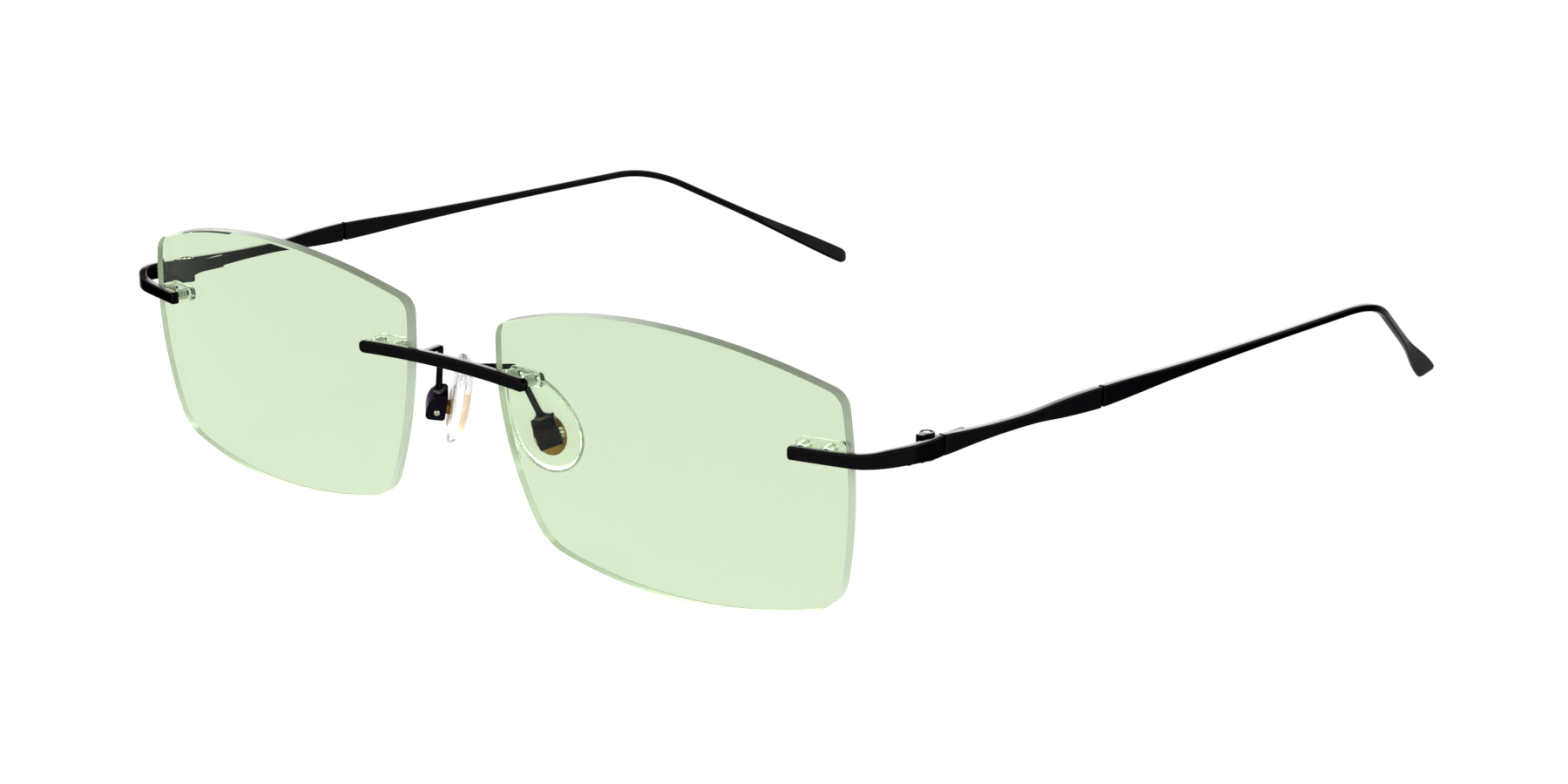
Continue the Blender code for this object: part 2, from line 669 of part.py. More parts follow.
def make_nose_pad():
    """Soft teardrop pad with a pocket for its metal plate."""
    frame = pad_frame()
    # share of the outline, and how far from the plate side of the rim
    profile = (
        (0.3, -0.65), (0.7, -0.6), (0.92, -0.42), (1.0, 0.0),
        (0.96, 0.65), (0.82, 1.3), (0.52, 1.85), (0.2, 2.0),
    )
    middle = PAD_PLATE_OFFSET + 0.65
    move_x, move_z = PAD_CENTRE
    loops = []
    for scale, out in profile:
        rim = [(x * scale + move_x, z * scale + move_z) for x, z in pad_rim()]
        loops.append([frame @ Vector((x, middle + out, z)) for x, z in rim])
    pad = make("nose_pad_left", *loft(loops), SILICONE)
    radii = [radius + 0.08 for radius in PAD_PLATE_RADII]
    ends = (0, PAD_PLATE_OFFSET + PAD_PLATE_THICKNESS + 0.07)
    pocket = make("pocket", *loft([ellipse(frame, *radii, y) for y in ends]))
    return combine(pad, [pocket], "DIFFERENCE")


def make_pad_screw():
    """Screw across the pad box."""
    frame = pad_frame()
    across = frame.col[0].to_3d()
    seat = BOX_HALF_WIDTH + 0.03
    shank = disc(PAD_PIVOT, across, PAD_SCREW_RADIUS, -seat - 0.2, seat + 0.1)
    screw = make("pad_screw_left", *shank, STEEL)
    head = make("head", *disc(PAD_PIVOT, across, 0.72, seat, seat + 0.42, 24))
    combine(screw, [head], "UNION")
    slot = make("slot", *block(frame, (seat + 0.27, -0.1, -1), (3, 0.1, 1)))
    return combine(screw, [slot], "DIFFERENCE")


def make_pad_arm():
    """Wire from the back of the bridge, back and down to the pad box."""
    box_top = pad_frame() @ Vector((0, -0.1, BOX_HIGH + 0.12))
    corner = Vector((7.2, 6.1, 6.6))
    neck = Vector((5.0, 1.0, 7.2))
    way_in = (corner - neck).normalized()
    way_out = (box_top - corner).normalized()
    places = [(Vector((4.9, 0.33, 7.2)), Vector((0, 1, 0))), (neck, Vector((0.15, 1, 0)))]
    places += bend(corner, way_in, way_out, ARM_BEND_RADIUS, 5)
    places.append((box_top, way_out))
    reference = Vector((0.93, -0.36, 0))
    loops = []
    for point, direction in places:
        up = direction.cross(reference).normalized()
        side = up.cross(direction).normalized()
        loops.append(rounded_section(point, side, up, ARM_SIZE, ARM_SIZE, 0.16))
    return make("pad_arm_left", *loft(loops))


# ---- assembly ---------------------------------------------------------------
def place(item, origin):
    """Move the mesh to the final frame with its origin at the given point."""
    shift = Vector((0, -MID_LENGTH, LENS_BOTTOM))
    item.data.transform(Matrix.Translation((shift * MM) - (origin + shift) * MM))
    item.location = (origin + shift) * MM


def finish(item):
    """Smooth the rounded faces and keep the flat ones flat."""
    item.data.validate()
    for polygon in item.data.polygons:
        polygon.use_smooth = True
    item.data.set_sharp_from_angle(angle=math.radians(35))


def build():
    """Make every piece for the left side, mirror it, and place them all."""
    clear_scene()
    still = Vector((0, 0, 0))
    hinge = HINGE_AXIS + Vector((0, 0, HINGE_LEVEL))
    sided = [
        (make_lens(), still),
        (make_plug("nasal_plug_left", *NASAL_MOUNT), still),
        (make_plug("temple_plug_left", *TEMPLE_MOUNT), still),
        (make_pad_arm(), still),
        (make_pad_box(), still),
        (make_pad_screw(), still),
        (make_nose_pad(), PAD_PIVOT),
        (make_pad_core(), PAD_PIVOT),
        (make_endpiece(), still),
        (make_hinge_frame(), still),
        (make_hinge_screw(), still),
        (make_hinge_temple(), hinge),
        (make_temple_front(), hinge),
        (make_temple_rear(), hinge),
    ]
    pieces = [(make_bridge(), still)] + sided
    for item, origin in sided:
        twin = mirrored_mesh(item, item.name.replace("_left", "_right"))
        pieces.append((twin, Vector((-origin.x, origin.y, origin.z))))
    for item, origin in pieces:
        place(item, origin)
        finish(item)


build()
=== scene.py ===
"""Looks of the rimless eyeglasses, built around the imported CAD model.

Every CAD node is replaced by a finer piece of the same size in the same place.
Pieces are drawn in millimetres for the wearer's left side (+X) and mirrored to
the right. X runs across the face, Y back towards the ears and Z up; Y = 0 is
the front of the lenses and Z = 0 their centre line. ORIGIN, worked out from
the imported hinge, carries the drawing into the frame's own coordinates.
"""
import json
import math

import bmesh
import bpy
from mathutils import Matrix, Vector, noise


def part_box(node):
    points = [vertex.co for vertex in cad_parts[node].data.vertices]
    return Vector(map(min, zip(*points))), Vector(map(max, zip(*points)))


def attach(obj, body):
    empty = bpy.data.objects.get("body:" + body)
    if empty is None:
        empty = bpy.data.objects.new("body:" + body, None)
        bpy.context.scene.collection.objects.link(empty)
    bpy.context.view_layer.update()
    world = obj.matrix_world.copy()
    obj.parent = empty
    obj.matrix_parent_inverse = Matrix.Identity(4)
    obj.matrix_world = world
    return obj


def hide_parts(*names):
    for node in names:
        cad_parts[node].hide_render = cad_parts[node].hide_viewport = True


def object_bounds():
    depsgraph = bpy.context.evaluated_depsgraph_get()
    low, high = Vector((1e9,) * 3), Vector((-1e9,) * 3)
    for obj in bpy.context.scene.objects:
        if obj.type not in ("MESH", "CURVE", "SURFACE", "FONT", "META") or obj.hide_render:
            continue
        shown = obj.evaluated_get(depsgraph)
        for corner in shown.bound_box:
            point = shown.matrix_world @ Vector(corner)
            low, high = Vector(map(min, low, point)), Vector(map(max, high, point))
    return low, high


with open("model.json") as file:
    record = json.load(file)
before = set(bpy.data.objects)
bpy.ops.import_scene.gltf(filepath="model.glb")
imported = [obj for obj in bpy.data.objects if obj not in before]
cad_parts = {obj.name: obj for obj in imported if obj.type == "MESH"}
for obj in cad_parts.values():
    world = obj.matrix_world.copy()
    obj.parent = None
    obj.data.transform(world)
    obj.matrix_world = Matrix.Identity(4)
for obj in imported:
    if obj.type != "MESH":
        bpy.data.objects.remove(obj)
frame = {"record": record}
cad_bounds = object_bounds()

MM = 0.001
UP = Vector((0, 0, 1))
BACK = Vector((0, 1, 0))
JOINT_PLACES = {joint["name"]: Vector(joint["pos_m"]) / MM
                for joint in frame["record"]["behaviour"]["joints"]}

# ---- lens, in millimetres and degrees ----
LENS_OFFSET = 35.7           # lens centre from the middle of the face
LENS_BASE_RADIUS = 126.0     # front curve
LENS_THICKNESS = 2.0
LENS_BEVEL = 0.2
LENS_WRAP = math.radians(3.3)
LENS_TILT = math.radians(4.7)
# corner centre across, corner centre up, corner radius: from the lower nasal
# corner, round by the lower temple corner to the upper nasal corner
LENS_CORNERS = (
    (-16.1, -9.1, 6.85),
    (20.0, -9.6, 6.0),
    (24.2, 10.8, 2.8),
    (-24.9, 11.3, 2.5),
)
LENS_SIDE_RADII = (91.0, 58.0, 76.0, 50.0)  # bottom, temple, top, nasal sides
# rings of points on the lens faces, as shares of the outline
LENS_RINGS = (0.1, 0.22, 0.34, 0.46, 0.57, 0.68, 0.78, 0.87, 0.94, 1.0)

# ---- mounts ----
NASAL_MOUNT = (-23.6, 6.75)  # middle of the two pins, in lens coordinates
TEMPLE_MOUNT = (23.2, 5.9)
PIN_PITCH = 3.4
PIN_RADIUS = 0.42
PIN_ROUND = 0.12             # rounding of the pin's tip
PIN_BARBS = 5
PIN_BARB_PITCH = 0.42
PIN_BARB_DEPTH = 0.07
SLEEVE_RADIUS = 0.72
SLEEVE_START = 0.25          # behind the front of the lens
SLEEVE_RIBS = 9
SLEEVE_RIB_PITCH = 0.23
SLEEVE_RIB_DEPTH = 0.06
SLEEVE_BORE_RADIUS = 0.48
LENS_HOLE_RADIUS = 0.8
PLUG_LENGTH = 6.4
PLUG_HEIGHT = 1.9
PLUG_FLANGE = 0.7
PLUG_GAP = 0.25              # between the flange and the lens

# ---- bridge and endpieces ----
BAR_DEPTH = 1.1
BAR_GAP = 0.08               # between a bar and the lens
BAR_CORNER = 0.24            # rounding along the edges of the bars
BRIDGE_HALF_LENGTH = 15.2
BRIDGE_HEIGHT = 1.7
BRIDGE_LEVEL = 6.75
BRIDGE_ARCH = 0.5            # rise of its middle
BRIDGE_FRONT = -0.62         # centre of its ends, in front of the lenses
BRIDGE_BOW = 0.3             # how far its middle stands back
ENDPIECE_TIP = -2.85         # start of the bar, along the face from its mount
ENDPIECE_LEVEL = 5.87
HINGE_LEVEL = 6.08
ENDPIECE_BEND_RADIUS = 5.0
ENDPIECE_TOE = math.radians(4.0)
ENDPIECE_HEIGHTS = (         # distance from the tip, height of the bar
    (0, 1.7), (6, 1.74), (9, 1.85), (11, 1.95), (13, 2.15), (15, 2.25), (17, 2.4),
    (19, 2.55), (22, 2.62),
)
ENDPIECE_CLIMB = (           # distance from the tip, rise of the centre line
    (0, -0.08), (6, -0.08), (9, 0.0), (11, 0.25), (13, 0.52), (15, 0.62), (17, 0.5),
    (19, 0.3), (20.5, HINGE_LEVEL - ENDPIECE_LEVEL), (22, HINGE_LEVEL - ENDPIECE_LEVEL),
)

# ---- hinge ----
HINGE_X = 68.8               # middle of the bar where it meets the temple
ENDPIECE_END = 14.8
TEMPLE_START = 15.1
HINGE_AXIS = Vector((HINGE_X - 1.3, ENDPIECE_END - 1.0, 0))
KNUCKLE_RADIUS = 1.0
KNUCKLE_CLEARANCE = 0.08
HINGE_BOTTOM = 4.3
HINGE_TOP = 7.75
HINGE_CUT = (0, 12)          # lowest and highest of the cutters, clear of the hinge
HINGE_FOOT = (4.75, 6.85)    # lowest and highest of the foot on the endpiece
HINGE_FOOT_SIZE = (0.9, 3.7)  # thickness and length
HINGE_FOOT_BACK = 3.75       # its middle, from the end of the bar
HINGE_SLOT = (5.05, 6.95)
HINGE_PLAY = 0.06
HINGE_SCREW_RADIUS = 0.42
HINGE_HEAD = (0.64, 0.36)    # radius and height of the sunk screw head
HINGE_LIP = 0.06             # chamfer round the sunk screw head
SCREW_PLAY = 0.05
HINGE_GLUE = 0.06            # solder line between a hinge half and its bar
HINGE_RIM = 0.09             # rounding of the hinge's edges

# ---- temple ----
TEMPLE_DEPTH = 1.15
TEMPLE_JOINT = Vector((70.3, 45.5, 5.52))
FRONT_END = 45.5
REAR_START = 45.9
TENON = (0.6, 1.4)           # thickness and height
TEMPLE_CORNER = Vector((70.1, 114.4, 4.2))
TEMPLE_TIP = Vector((58.05, 152.9, -16.5))
TEMPLE_BEND_RADIUS = 28.0
WIRE = 1.1
FRONT_HEIGHTS = (            # distance back, height of the front length
    (15.1, 2.6), (17, 2.42), (19, 2.15), (22, 1.82), (25, 1.6), (28, 1.5), (31, 1.5),
    (33, 1.6), (35, 1.85), (37, 2.15), (39, 2.4), (42, 2.65), (45.5, 2.8),
)
REAR_HEIGHTS = (             # distance back, height of the rear length
    (45.9, 2.75), (50, 2.6), (54, 2.35), (58, 2.05), (62, 1.8), (66, 1.62),
    (70, 1.47), (75, 1.32), (82, 1.18), (90, WIRE), (97, WIRE),
)
REAR_DEPTHS = ((45.9, TEMPLE_DEPTH), (90, WIRE), (97, WIRE))
REAR_CORNERS = ((45.9, 0.22), (58, 0.24), (75, 0.28), (90, 0.3))
PADDLE = (                   # part of the last straight, depth, height, slant, twist
    (0.2, WIRE, 1.15, 0, 0), (0.45, 1.0, 1.3, 0, 10), (0.57, 0.92, 1.65, 0, 30),
    (0.69, 0.86, 2.3, 0, 42), (0.82, 0.8, 2.95, 3, 46), (0.94, 0.8, 3.15, 9, 45),
    (1.0, 0.8, 3.0, 12, 45),
)

# ---- nose pads ----
PAD_FACING = Vector((-0.65, 0.75, -0.15)).normalized()
PAD_UP_HINT = Vector((-0.36, -0.11, 0.93))
PAD_LENGTH = 14.8
PAD_WIDTH = 8.2
PAD_TAPER = 0.2              # share by which its top narrows and its foot widens
PAD_CENTRE = (-0.3, 2.1)     # pad centre from the pivot: along the screw, up
PAD_LEAN = math.radians(8)   # turn of the soft pad against its metal plate
PAD_PLATE_OFFSET = 1.6       # pivot to the near face of the pad's metal plate
PAD_PLATE_THICKNESS = 0.55
PAD_PLATE_RADII = (2.1, 2.8)
PAD_STEM = (0.75, 0.7)       # half width, half height
PAD_RIM_OFFSET = 2.25        # pivot to the widest ring of the soft pad
PAD_BACK = (                 # distance behind the widest ring, share of its size
    (0.0, 1.0), (0.25, 0.985), (0.45, 0.91), (0.58, 0.72), (0.65, 0.35),
)
PAD_FRONT = (                # the same towards the nose
    (0.0, 1.0), (0.65, 0.96), (1.3, 0.82), (1.75, 0.6), (1.95, 0.36), (2.0, 0.18),
)
PAD_TEETH = 72               # fine teeth round the widest ring
PAD_TOOTH_DEPTH = 0.03       # as a share of its size
PAD_TEETH_REACH = 0.7        # how far from the widest ring the teeth fade out
PAD_SCREW_RADIUS = 0.42
BOX_HALF_WIDTH = 1.55
BOX_LOW = -1.4
BOX_HIGH = 2.7
BOX_FACE = 1.2               # pivot to the open face of the box
BOX_BACK = -1.45
BOX_BELLY = 0.75             # where the straight top turns into the round back
BOX_CHAMFER = 0.3
BOX_CORNER = 0.7             # rounding below the round back
ARM_SIZE = 0.75
ARM_START = Vector((4.9, 0.33, 7.2))  # on the back of the bridge
ARM_NECK = Vector((5.0, 1.0, 7.2))
ARM_NECK_RADIUS = 0.8
ARM_CORNER = Vector((7.2, 6.1, 6.6))
ARM_BEND_RADIUS = 0.9
SOLDER_SIZE = Vector((1.0, 0.62, 0.75))  # half sizes: along the screw, up, to the nose

# ---- camera and light ----
CAMERA_AZIMUTH = math.radians(40.226)
CAMERA_ELEVATION = math.radians(16.112)
CAMERA_LENS = 71.82          # focal length for a 36 mm wide sensor
CAMERA_REACH = 420.0         # from the camera to the point it aims at
CAMERA_AIM = Vector((22.77, 40.55, -1.63))
LIGHT_PLACE = Vector((-0.35, -0.1, 0.8))  # in metres
LIGHT_SIZE = 0.35
LIGHT_POWER = 2.6
STUDIO_STRENGTH = 4.0
STUDIO_BAND = (              # rise above the horizon, 1 straight up; brightness
    (0.0, 0.3), (0.15, 1.0), (0.36, 1.0), (0.5, 0.08), (1.0, 0.08),
)
FLOOR_REACH = 6.0            # in metres, as is the gap below the object
FLOOR_GAP = 0.0002

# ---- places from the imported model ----
ORIGIN = JOINT_PLACES["temple_left_fold"] - HINGE_AXIS - UP * HINGE_LEVEL
PAD_PIVOT = JOINT_PLACES["pad_left_rock"] - ORIGIN
HINGE_PLACE = Matrix.Translation(HINGE_AXIS)
LENS_LOW, LENS_HIGH = (corner.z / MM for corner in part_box("lens_left"))  # above the floor


# ---- curves and outlines ----
STEADY = ((0, 0.0),)         # the table of a slant or twist that stays at nothing


def smooth(table, x):
    """Value at x on a smooth curve through (position, value) pairs."""
    if x <= table[0][0]:
        return table[0][1]
    if x >= table[-1][0]:
        return table[-1][1]
    last = len(table) - 1
    i = next(i for i in range(last) if x <= table[i + 1][0])

    def slope(k):
        low, high = table[max(k - 1, 0)], table[min(k + 1, last)]
        return (high[1] - low[1]) / (high[0] - low[0])

    (x0, v0), (x1, v1) = table[i], table[i + 1]
    span = x1 - x0
    t = (x - x0) / span
    level = v0 * (2 * t ** 3 - 3 * t ** 2 + 1) + v1 * (3 * t ** 2 - 2 * t ** 3)
    lean = slope(i) * (t ** 3 - 2 * t ** 2 + t) + slope(i + 1) * (t ** 3 - t ** 2)
    return level + span * lean


def bend(corner, way_in, way_out, radius, steps):
    """Points round an arc that takes off a corner."""
    turn = way_in.angle(way_out)
    axis = way_in.cross(way_out).normalized()
    inward = axis.cross(way_in)
    centre = corner - way_in * radius * math.tan(turn / 2) + inward * radius
    spins = (Matrix.Rotation(turn * step / steps, 3, axis) for step in range(steps + 1))
    return [centre - spin @ inward * radius for spin in spins]


def arc_points(centre, radius, first, last, steps):
    """Flat points along an arc between two angles in degrees."""
    points = []
    for step in range(steps + 1):
        angle = math.radians(first + (last - first) * step / steps)
        points.append(centre + Vector((math.cos(angle), math.sin(angle))) * radius)
    return points


def rounded_rectangle(width, height, radius, steps=6):
    """Outline of a rectangle with round corners, centred on zero."""
    points = []
    for quarter, (sx, sy) in enumerate(((1, 1), (-1, 1), (-1, -1), (1, -1))):
        centre = Vector((sx * (width / 2 - radius), sy * (height / 2 - radius)))
        points += arc_points(centre, radius, 90 * quarter, 90 * quarter + 90, steps)
    return points


def oval(half_width, half_height, count=72):
    """Outline of an ellipse."""
    angles = (2 * math.pi * i / count for i in range(count))
    return [Vector((half_width * math.cos(a), half_height * math.sin(a))) for a in angles]


def inset(points, amount):
    """A closed outline, counter-clockwise, moved inwards."""
    moved = []
    for i, point in enumerate(points):
        before = (point - points[i - 1]).normalized()
        after = (points[(i + 1) % len(points)] - point).normalized()
        inward = Vector((-before.y - after.y, before.x + after.x)).normalized()
        share = max(0.4, inward.dot(Vector((-after.y, after.x))))
        moved.append(point + inward * amount / share)
    return moved


def frame_from(origin, x_axis, y_axis, z_axis):
    """A matrix whose columns are the given axes, at the given origin."""
    turn = Matrix((x_axis, y_axis, z_axis)).transposed().to_4x4()
    return Matrix.Translation(origin) @ turn


# ---- solids ----
def skin(loops, tips=None):
    """Join equal closed loops with faces; close the ends flat or at two tips."""
    count = len(loops[0])
    verts = [point for loop in loops for point in loop]
    faces = []
    for row in range(len(loops) - 1):
        for i in range(count):
            a = row * count + i
            b = row * count + (i + 1) % count
            faces.append((a, b, b + count, a + count))
    first, last = range(count), range(len(verts) - count, len(verts))
    if tips is None:
        return verts, faces + [tuple(first), tuple(last)]
    for tip, ring in zip(tips, (first, last)):
        faces += [(ring[i - 1], ring[i], len(verts)) for i in range(count)]
        verts.append(tip)
    return verts, faces


def slab(outline, low, high, place, rim=0.1, steps=3):
    """Raise a flat outline between two heights, with rounded rims."""
    rounds = []
    for step in range(steps + 1):
        angle = math.pi / 2 * step / steps
        rounds.append((rim * (1 - math.sin(angle)), rim * (1 - math.cos(angle))))
    levels = [(draw, low + rise) for draw, rise in rounds]
    levels += [(draw, high - rise) for draw, rise in reversed(rounds)]
    loops = []
    for draw, level in levels:
        loops.append([place @ Vector((p.x, p.y, level)) for p in inset(outline, draw)])
    return skin(loops)


def turned(profile, place, sides=48):
    """Turn (radius, height) pairs round the Z axis of a frame."""
    loops = []
    for radius, height in profile:
        ring = oval(radius, radius, sides)
        loops.append([place @ Vector((p.x, p.y, height)) for p in ring])
    return skin(loops)


def rod(radius, start, end, place, sides=48):
    """A plain rod, used as a cutter."""
    return turned(((radius, start), (radius, end)), place, sides)


class Rail:
    """A line through dense points, read by distance from its start."""

    def __init__(self, points):
        self.points = points
        self.marks = [0.0]
        for a, b in zip(points, points[1:]):
            self.marks.append(self.marks[-1] + (b - a).length)
        self.length = self.marks[-1]

    def at(self, s):
        """The point at a distance; past an end the line runs on straight."""
        last = len(self.marks) - 2
        i = next((i for i in range(last) if s <= self.marks[i + 1]), last)
        t = (s - self.marks[i]) / (self.marks[i + 1] - self.marks[i])
        return self.points[i].lerp(self.points[i + 1], t)

    def way(self, s, reach=0.15):
        """The direction of travel at a distance."""
        return (self.at(s + reach) - self.at(s - reach)).normalized()


def drawn_in(reach, radius):
    """How far a rounded end has closed in at this distance from its tip."""
    if reach >= radius:
        return 0.0
    return radius - math.sqrt(radius ** 2 - (radius - reach) ** 2)


def stops(length, ends, spacing):
    """Distances for the sections of a bar, crowded at its rounded ends."""
    at_start, at_end = (max(end) for end in ends)
    plain = length - at_start - at_end
    rounds = [1 - math.cos(math.pi / 2 * (k + 0.25) / 8) for k in range(8)]
    between = max(1, round(plain / spacing))
    middle = [at_start + plain * k / between for k in range(between + 1)]
    first = [at_start * r for r in rounds]
    return first + middle + [length - at_end * r for r in reversed(rounds)]


def bar(rail, height, depth, corner, ends, spacing, slant=STEADY, twist=STEADY):
    """Sweep a rounded rectangle along a rail.

    height, depth, corner, slant and twist are tables by distance; ends holds
    the rounding of the height and of the depth at the start and at the end.
    """
    loops = []
    for s in stops(rail.length, ends, spacing):
        way = rail.way(s)
        side = way.cross(UP).normalized()
        way = Matrix.Rotation(math.radians(-smooth(slant, s)), 3, side) @ way
        turn = Matrix.Rotation(math.radians(smooth(twist, s)), 3, way)
        up = turn @ side.cross(way)
        side = turn @ side
        tall, deep = smooth(height, s), smooth(depth, s)
        for reach, (tall_round, deep_round) in ((s, ends[0]), (rail.length - s, ends[1])):
            tall -= 2 * drawn_in(reach, tall_round)
            deep -= 2 * drawn_in(reach, deep_round)
        radius = min(smooth(corner, s), tall / 2 - 0.01, deep / 2 - 0.01)
        outline = rounded_rectangle(deep, tall, radius, 5)
        loops.append([rail.at(s) + side * p.x + up * p.y for p in outline])
    return skin(loops)


# ---- objects ----
def placed(name, data):
    """A new object in the scene, made of some data."""
    made = bpy.data.objects.new(name, data)
    bpy.context.collection.objects.link(made)
    return made


def make(name, solid, finish=None):
    """Build one object from a solid drawn in millimetres."""
    verts, faces = solid
    mesh = bpy.data.meshes.new(name)
    mesh.from_pydata([(vert + ORIGIN) * MM for vert in verts], [], faces)
    work = bmesh.new()
    work.from_mesh(mesh)
    bmesh.ops.recalc_face_normals(work, faces=work.faces)
    work.to_mesh(mesh)
    work.free()
    if finish:
        mesh.materials.append(finish)
    return placed(name, mesh)


def combine(target, solids, operation):
    """Join or cut the target with each solid."""
    for solid in solids:
        tool = make("tool", solid)
        step = target.modifiers.new("step", "BOOLEAN")
        step.operation = operation
        step.solver = "EXACT"
        step.object = tool
        bpy.context.view_layer.update()
        graph = bpy.context.evaluated_depsgraph_get()
        old = target.data
        target.data = bpy.data.meshes.new_from_object(target.evaluated_get(graph))
        target.modifiers.clear()
        bpy.data.meshes.remove(old)
        bpy.data.objects.remove(tool, do_unlink=True)
    target.data.name = target.name
    return target


def shade(item, angle=32):
    """Smooth the rounded faces and keep flat ones flat."""
    for polygon in item.data.polygons:
        polygon.use_smooth = True
    item.data.set_sharp_from_angle(angle=math.radians(angle))
    weigh = item.modifiers.new("flat faces", "WEIGHTED_NORMAL")
    weigh.keep_sharp = True
    weigh.weight = 80
    return item


def mirrored(source, name):
    """A copy of an object, mirrored across the face."""
    mesh = source.data.copy()
    mesh.name = name
    mesh.transform(Matrix.Scale(-1, 4, Vector((1, 0, 0))))
    mesh.flip_normals()
    return placed(name, mesh)


def add_finish(item, finish, chosen):
    """Give a second material to the faces whose normal is chosen."""
    item.data.materials.append(finish)
    for polygon in item.data.polygons:
        polygon.material_index = int(chosen(polygon.normal))


# ---- finishes ----
class Finish:
    """A material with a Principled shader and helpers to add its nodes."""

    def __init__(self, name, **sockets):
        self.material = bpy.data.materials.new(name)
        self.material.use_nodes = True
        self.tree = self.material.node_tree
        self.shader = self.tree.nodes["Principled BSDF"]
        for socket, value in sockets.items():
            self.shader.inputs[socket.replace("_", " ")].default_value = value
        self.coords = self.tree.nodes.new("ShaderNodeTexCoord").outputs["Object"]

    def link(self, output, target):
        """Wire an output to an input."""
        self.tree.links.new(output, target)

    def stretched(self, scale):
        """Object coordinates in millimetres, scaled along each axis."""
        node = self.tree.nodes.new("ShaderNodeMapping")
        node.inputs["Scale"].default_value = [value / MM for value in scale]
        self.link(self.coords, node.inputs["Vector"])
        return node.outputs["Vector"]

    def noise(self, scale, detail=3.0, stretch=(1, 1, 1), roughness=0.5):
        """Noise with a given number of waves to the millimetre."""
        node = self.tree.nodes.new("ShaderNodeTexNoise")
        node.inputs["Scale"].default_value = scale
        node.inputs["Detail"].default_value = detail
        node.inputs["Roughness"].default_value = roughness
        self.link(self.stretched(stretch), node.inputs["Vector"])
        return node.outputs["Fac"]

    def ranged(self, value, low, high, start=0.3, end=0.7):
        """A value mapped from start..end to low..high."""
        node = self.tree.nodes.new("ShaderNodeMapRange")
        node.inputs["From Min"].default_value = start
        node.inputs["From Max"].default_value = end
        node.inputs["To Min"].default_value = low
        node.inputs["To Max"].default_value = high
        self.link(value, node.inputs["Value"])
        return node.outputs["Result"]

    def mixed(self, factor, first, second):
        """A colour between two colours, each given or from nodes."""
        node = self.tree.nodes.new("ShaderNodeMix")
        node.data_type = "RGBA"
        for socket, value in ((node.inputs["A"], first), (node.inputs["B"], second)):
            if isinstance(value, tuple):
                socket.default_value = (*value, 1)
            else:
                self.link(value, socket)
        self.link(factor, node.inputs["Factor"])
        return next(out for out in node.outputs if out.type == "RGBA")

    def bump(self, height, depth, strength=1.0):
        """Bump of a given depth in millimetres."""
        node = self.tree.nodes.new("ShaderNodeBump")
        node.inputs["Strength"].default_value = strength
        node.inputs["Distance"].default_value = depth * MM
        self.link(height, node.inputs["Height"])
        self.link(node.outputs["Normal"], self.shader.inputs["Normal"])

    def z_of(self, output):
        """The Z part of a vector."""
        split = self.tree.nodes.new("ShaderNodeSeparateXYZ")
        self.link(output, split.inputs["Vector"])
        return split.outputs["Z"]

    def rising(self, start, end):
        """From 0 to 1 between two heights above the floor, in millimetres."""
        return self.ranged(self.z_of(self.stretched((1, 1, 1))), 0.0, 1.0, start, end)

    def facing_up(self):
        """How far the surface faces up, from -1 to 1."""
        return self.z_of(self.tree.nodes.new("ShaderNodeNewGeometry").outputs["Normal"])

    def edge_on(self):
        """How far the surface turns away from the eye, from 0 to 1."""
        return self.tree.nodes.new("ShaderNodeLayerWeight").outputs["Facing"]

    def colour(self, factor, first, second):
        """Base colour between two colours."""
        self.link(self.mixed(factor, first, second), self.shader.inputs["Base Color"])

    def rough(self, value, low, high):
        """Roughness from low to high."""
        self.link(self.ranged(value, low, high), self.shader.inputs["Roughness"])

    def light_passes(self, tint):
        """Let light through to what lies behind, tinted."""
        nodes = self.tree.nodes
        clear = nodes.new("ShaderNodeBsdfTransparent")
        clear.inputs["Color"].default_value = (*tint, 1)
        switch = nodes.new("ShaderNodeMixShader")
        self.link(nodes.new("ShaderNodeLightPath").outputs["Is Shadow Ray"], switch.inputs["Fac"])
        self.link(self.shader.outputs["BSDF"], switch.inputs[1])
        self.link(clear.outputs["BSDF"], switch.inputs[2])
        self.link(switch.outputs["Shader"], nodes["Material Output"].inputs["Surface"])


def black_metal():
    """Gloss black plating with a faint unevenness, and a painted sheen: it reflects more strongly
    where it faces up.
    """
    finish = Finish("black_plating", Metallic=1.0)
    patches = finish.noise(0.35, 4)
    finish.colour(patches, (0.0035, 0.0035, 0.004), (0.0065, 0.0065, 0.0075))
    # painted sheen: the glancing gleam is raised on faces that look up, standing in for the light from
    # above
    facing = finish.ranged(finish.facing_up(), 0.0, 1.0, 0.2, 0.9)
    painted_top_sheen = finish.mixed(facing, (0.45, 0.45, 0.45), (0.74, 0.74, 0.74))
    finish.link(painted_top_sheen, finish.shader.inputs["Specular Tint"])
    finish.rough(finish.noise(1.4, 5), 0.04, 0.1)
    finish.bump(finish.noise(3.0, 4), 0.004, 0.35)
    return finish.material


def clamp_metal():
    """Black plating of the pad clamps, with a purple cast."""
    finish = Finish("clamp_plating", Metallic=1.0, Specular_Tint=(0.5, 0.48, 0.52, 1))
    patches = finish.noise(0.9, 4)
    finish.colour(patches, (0.003, 0.0022, 0.004), (0.010, 0.007, 0.0125))
    finish.rough(finish.noise(2.4, 5), 0.12, 0.28)
    finish.bump(finish.noise(1.6, 4), 0.03, 0.5)
    return finish.material


def solder_metal():
    """Plated solder: lumpy, a little rougher than the bars."""
    finish = Finish("plated_solder", Metallic=1.0, Specular_Tint=(0.6, 0.6, 0.6, 1))
    patches = finish.noise(1.6, 4)
    finish.colour(patches, (0.01, 0.01, 0.012), (0.09, 0.085, 0.09))
    finish.rough(finish.noise(3.5, 4), 0.08, 0.24)
    finish.bump(finish.noise(2.2, 5), 0.14, 0.9)
    return finish.material


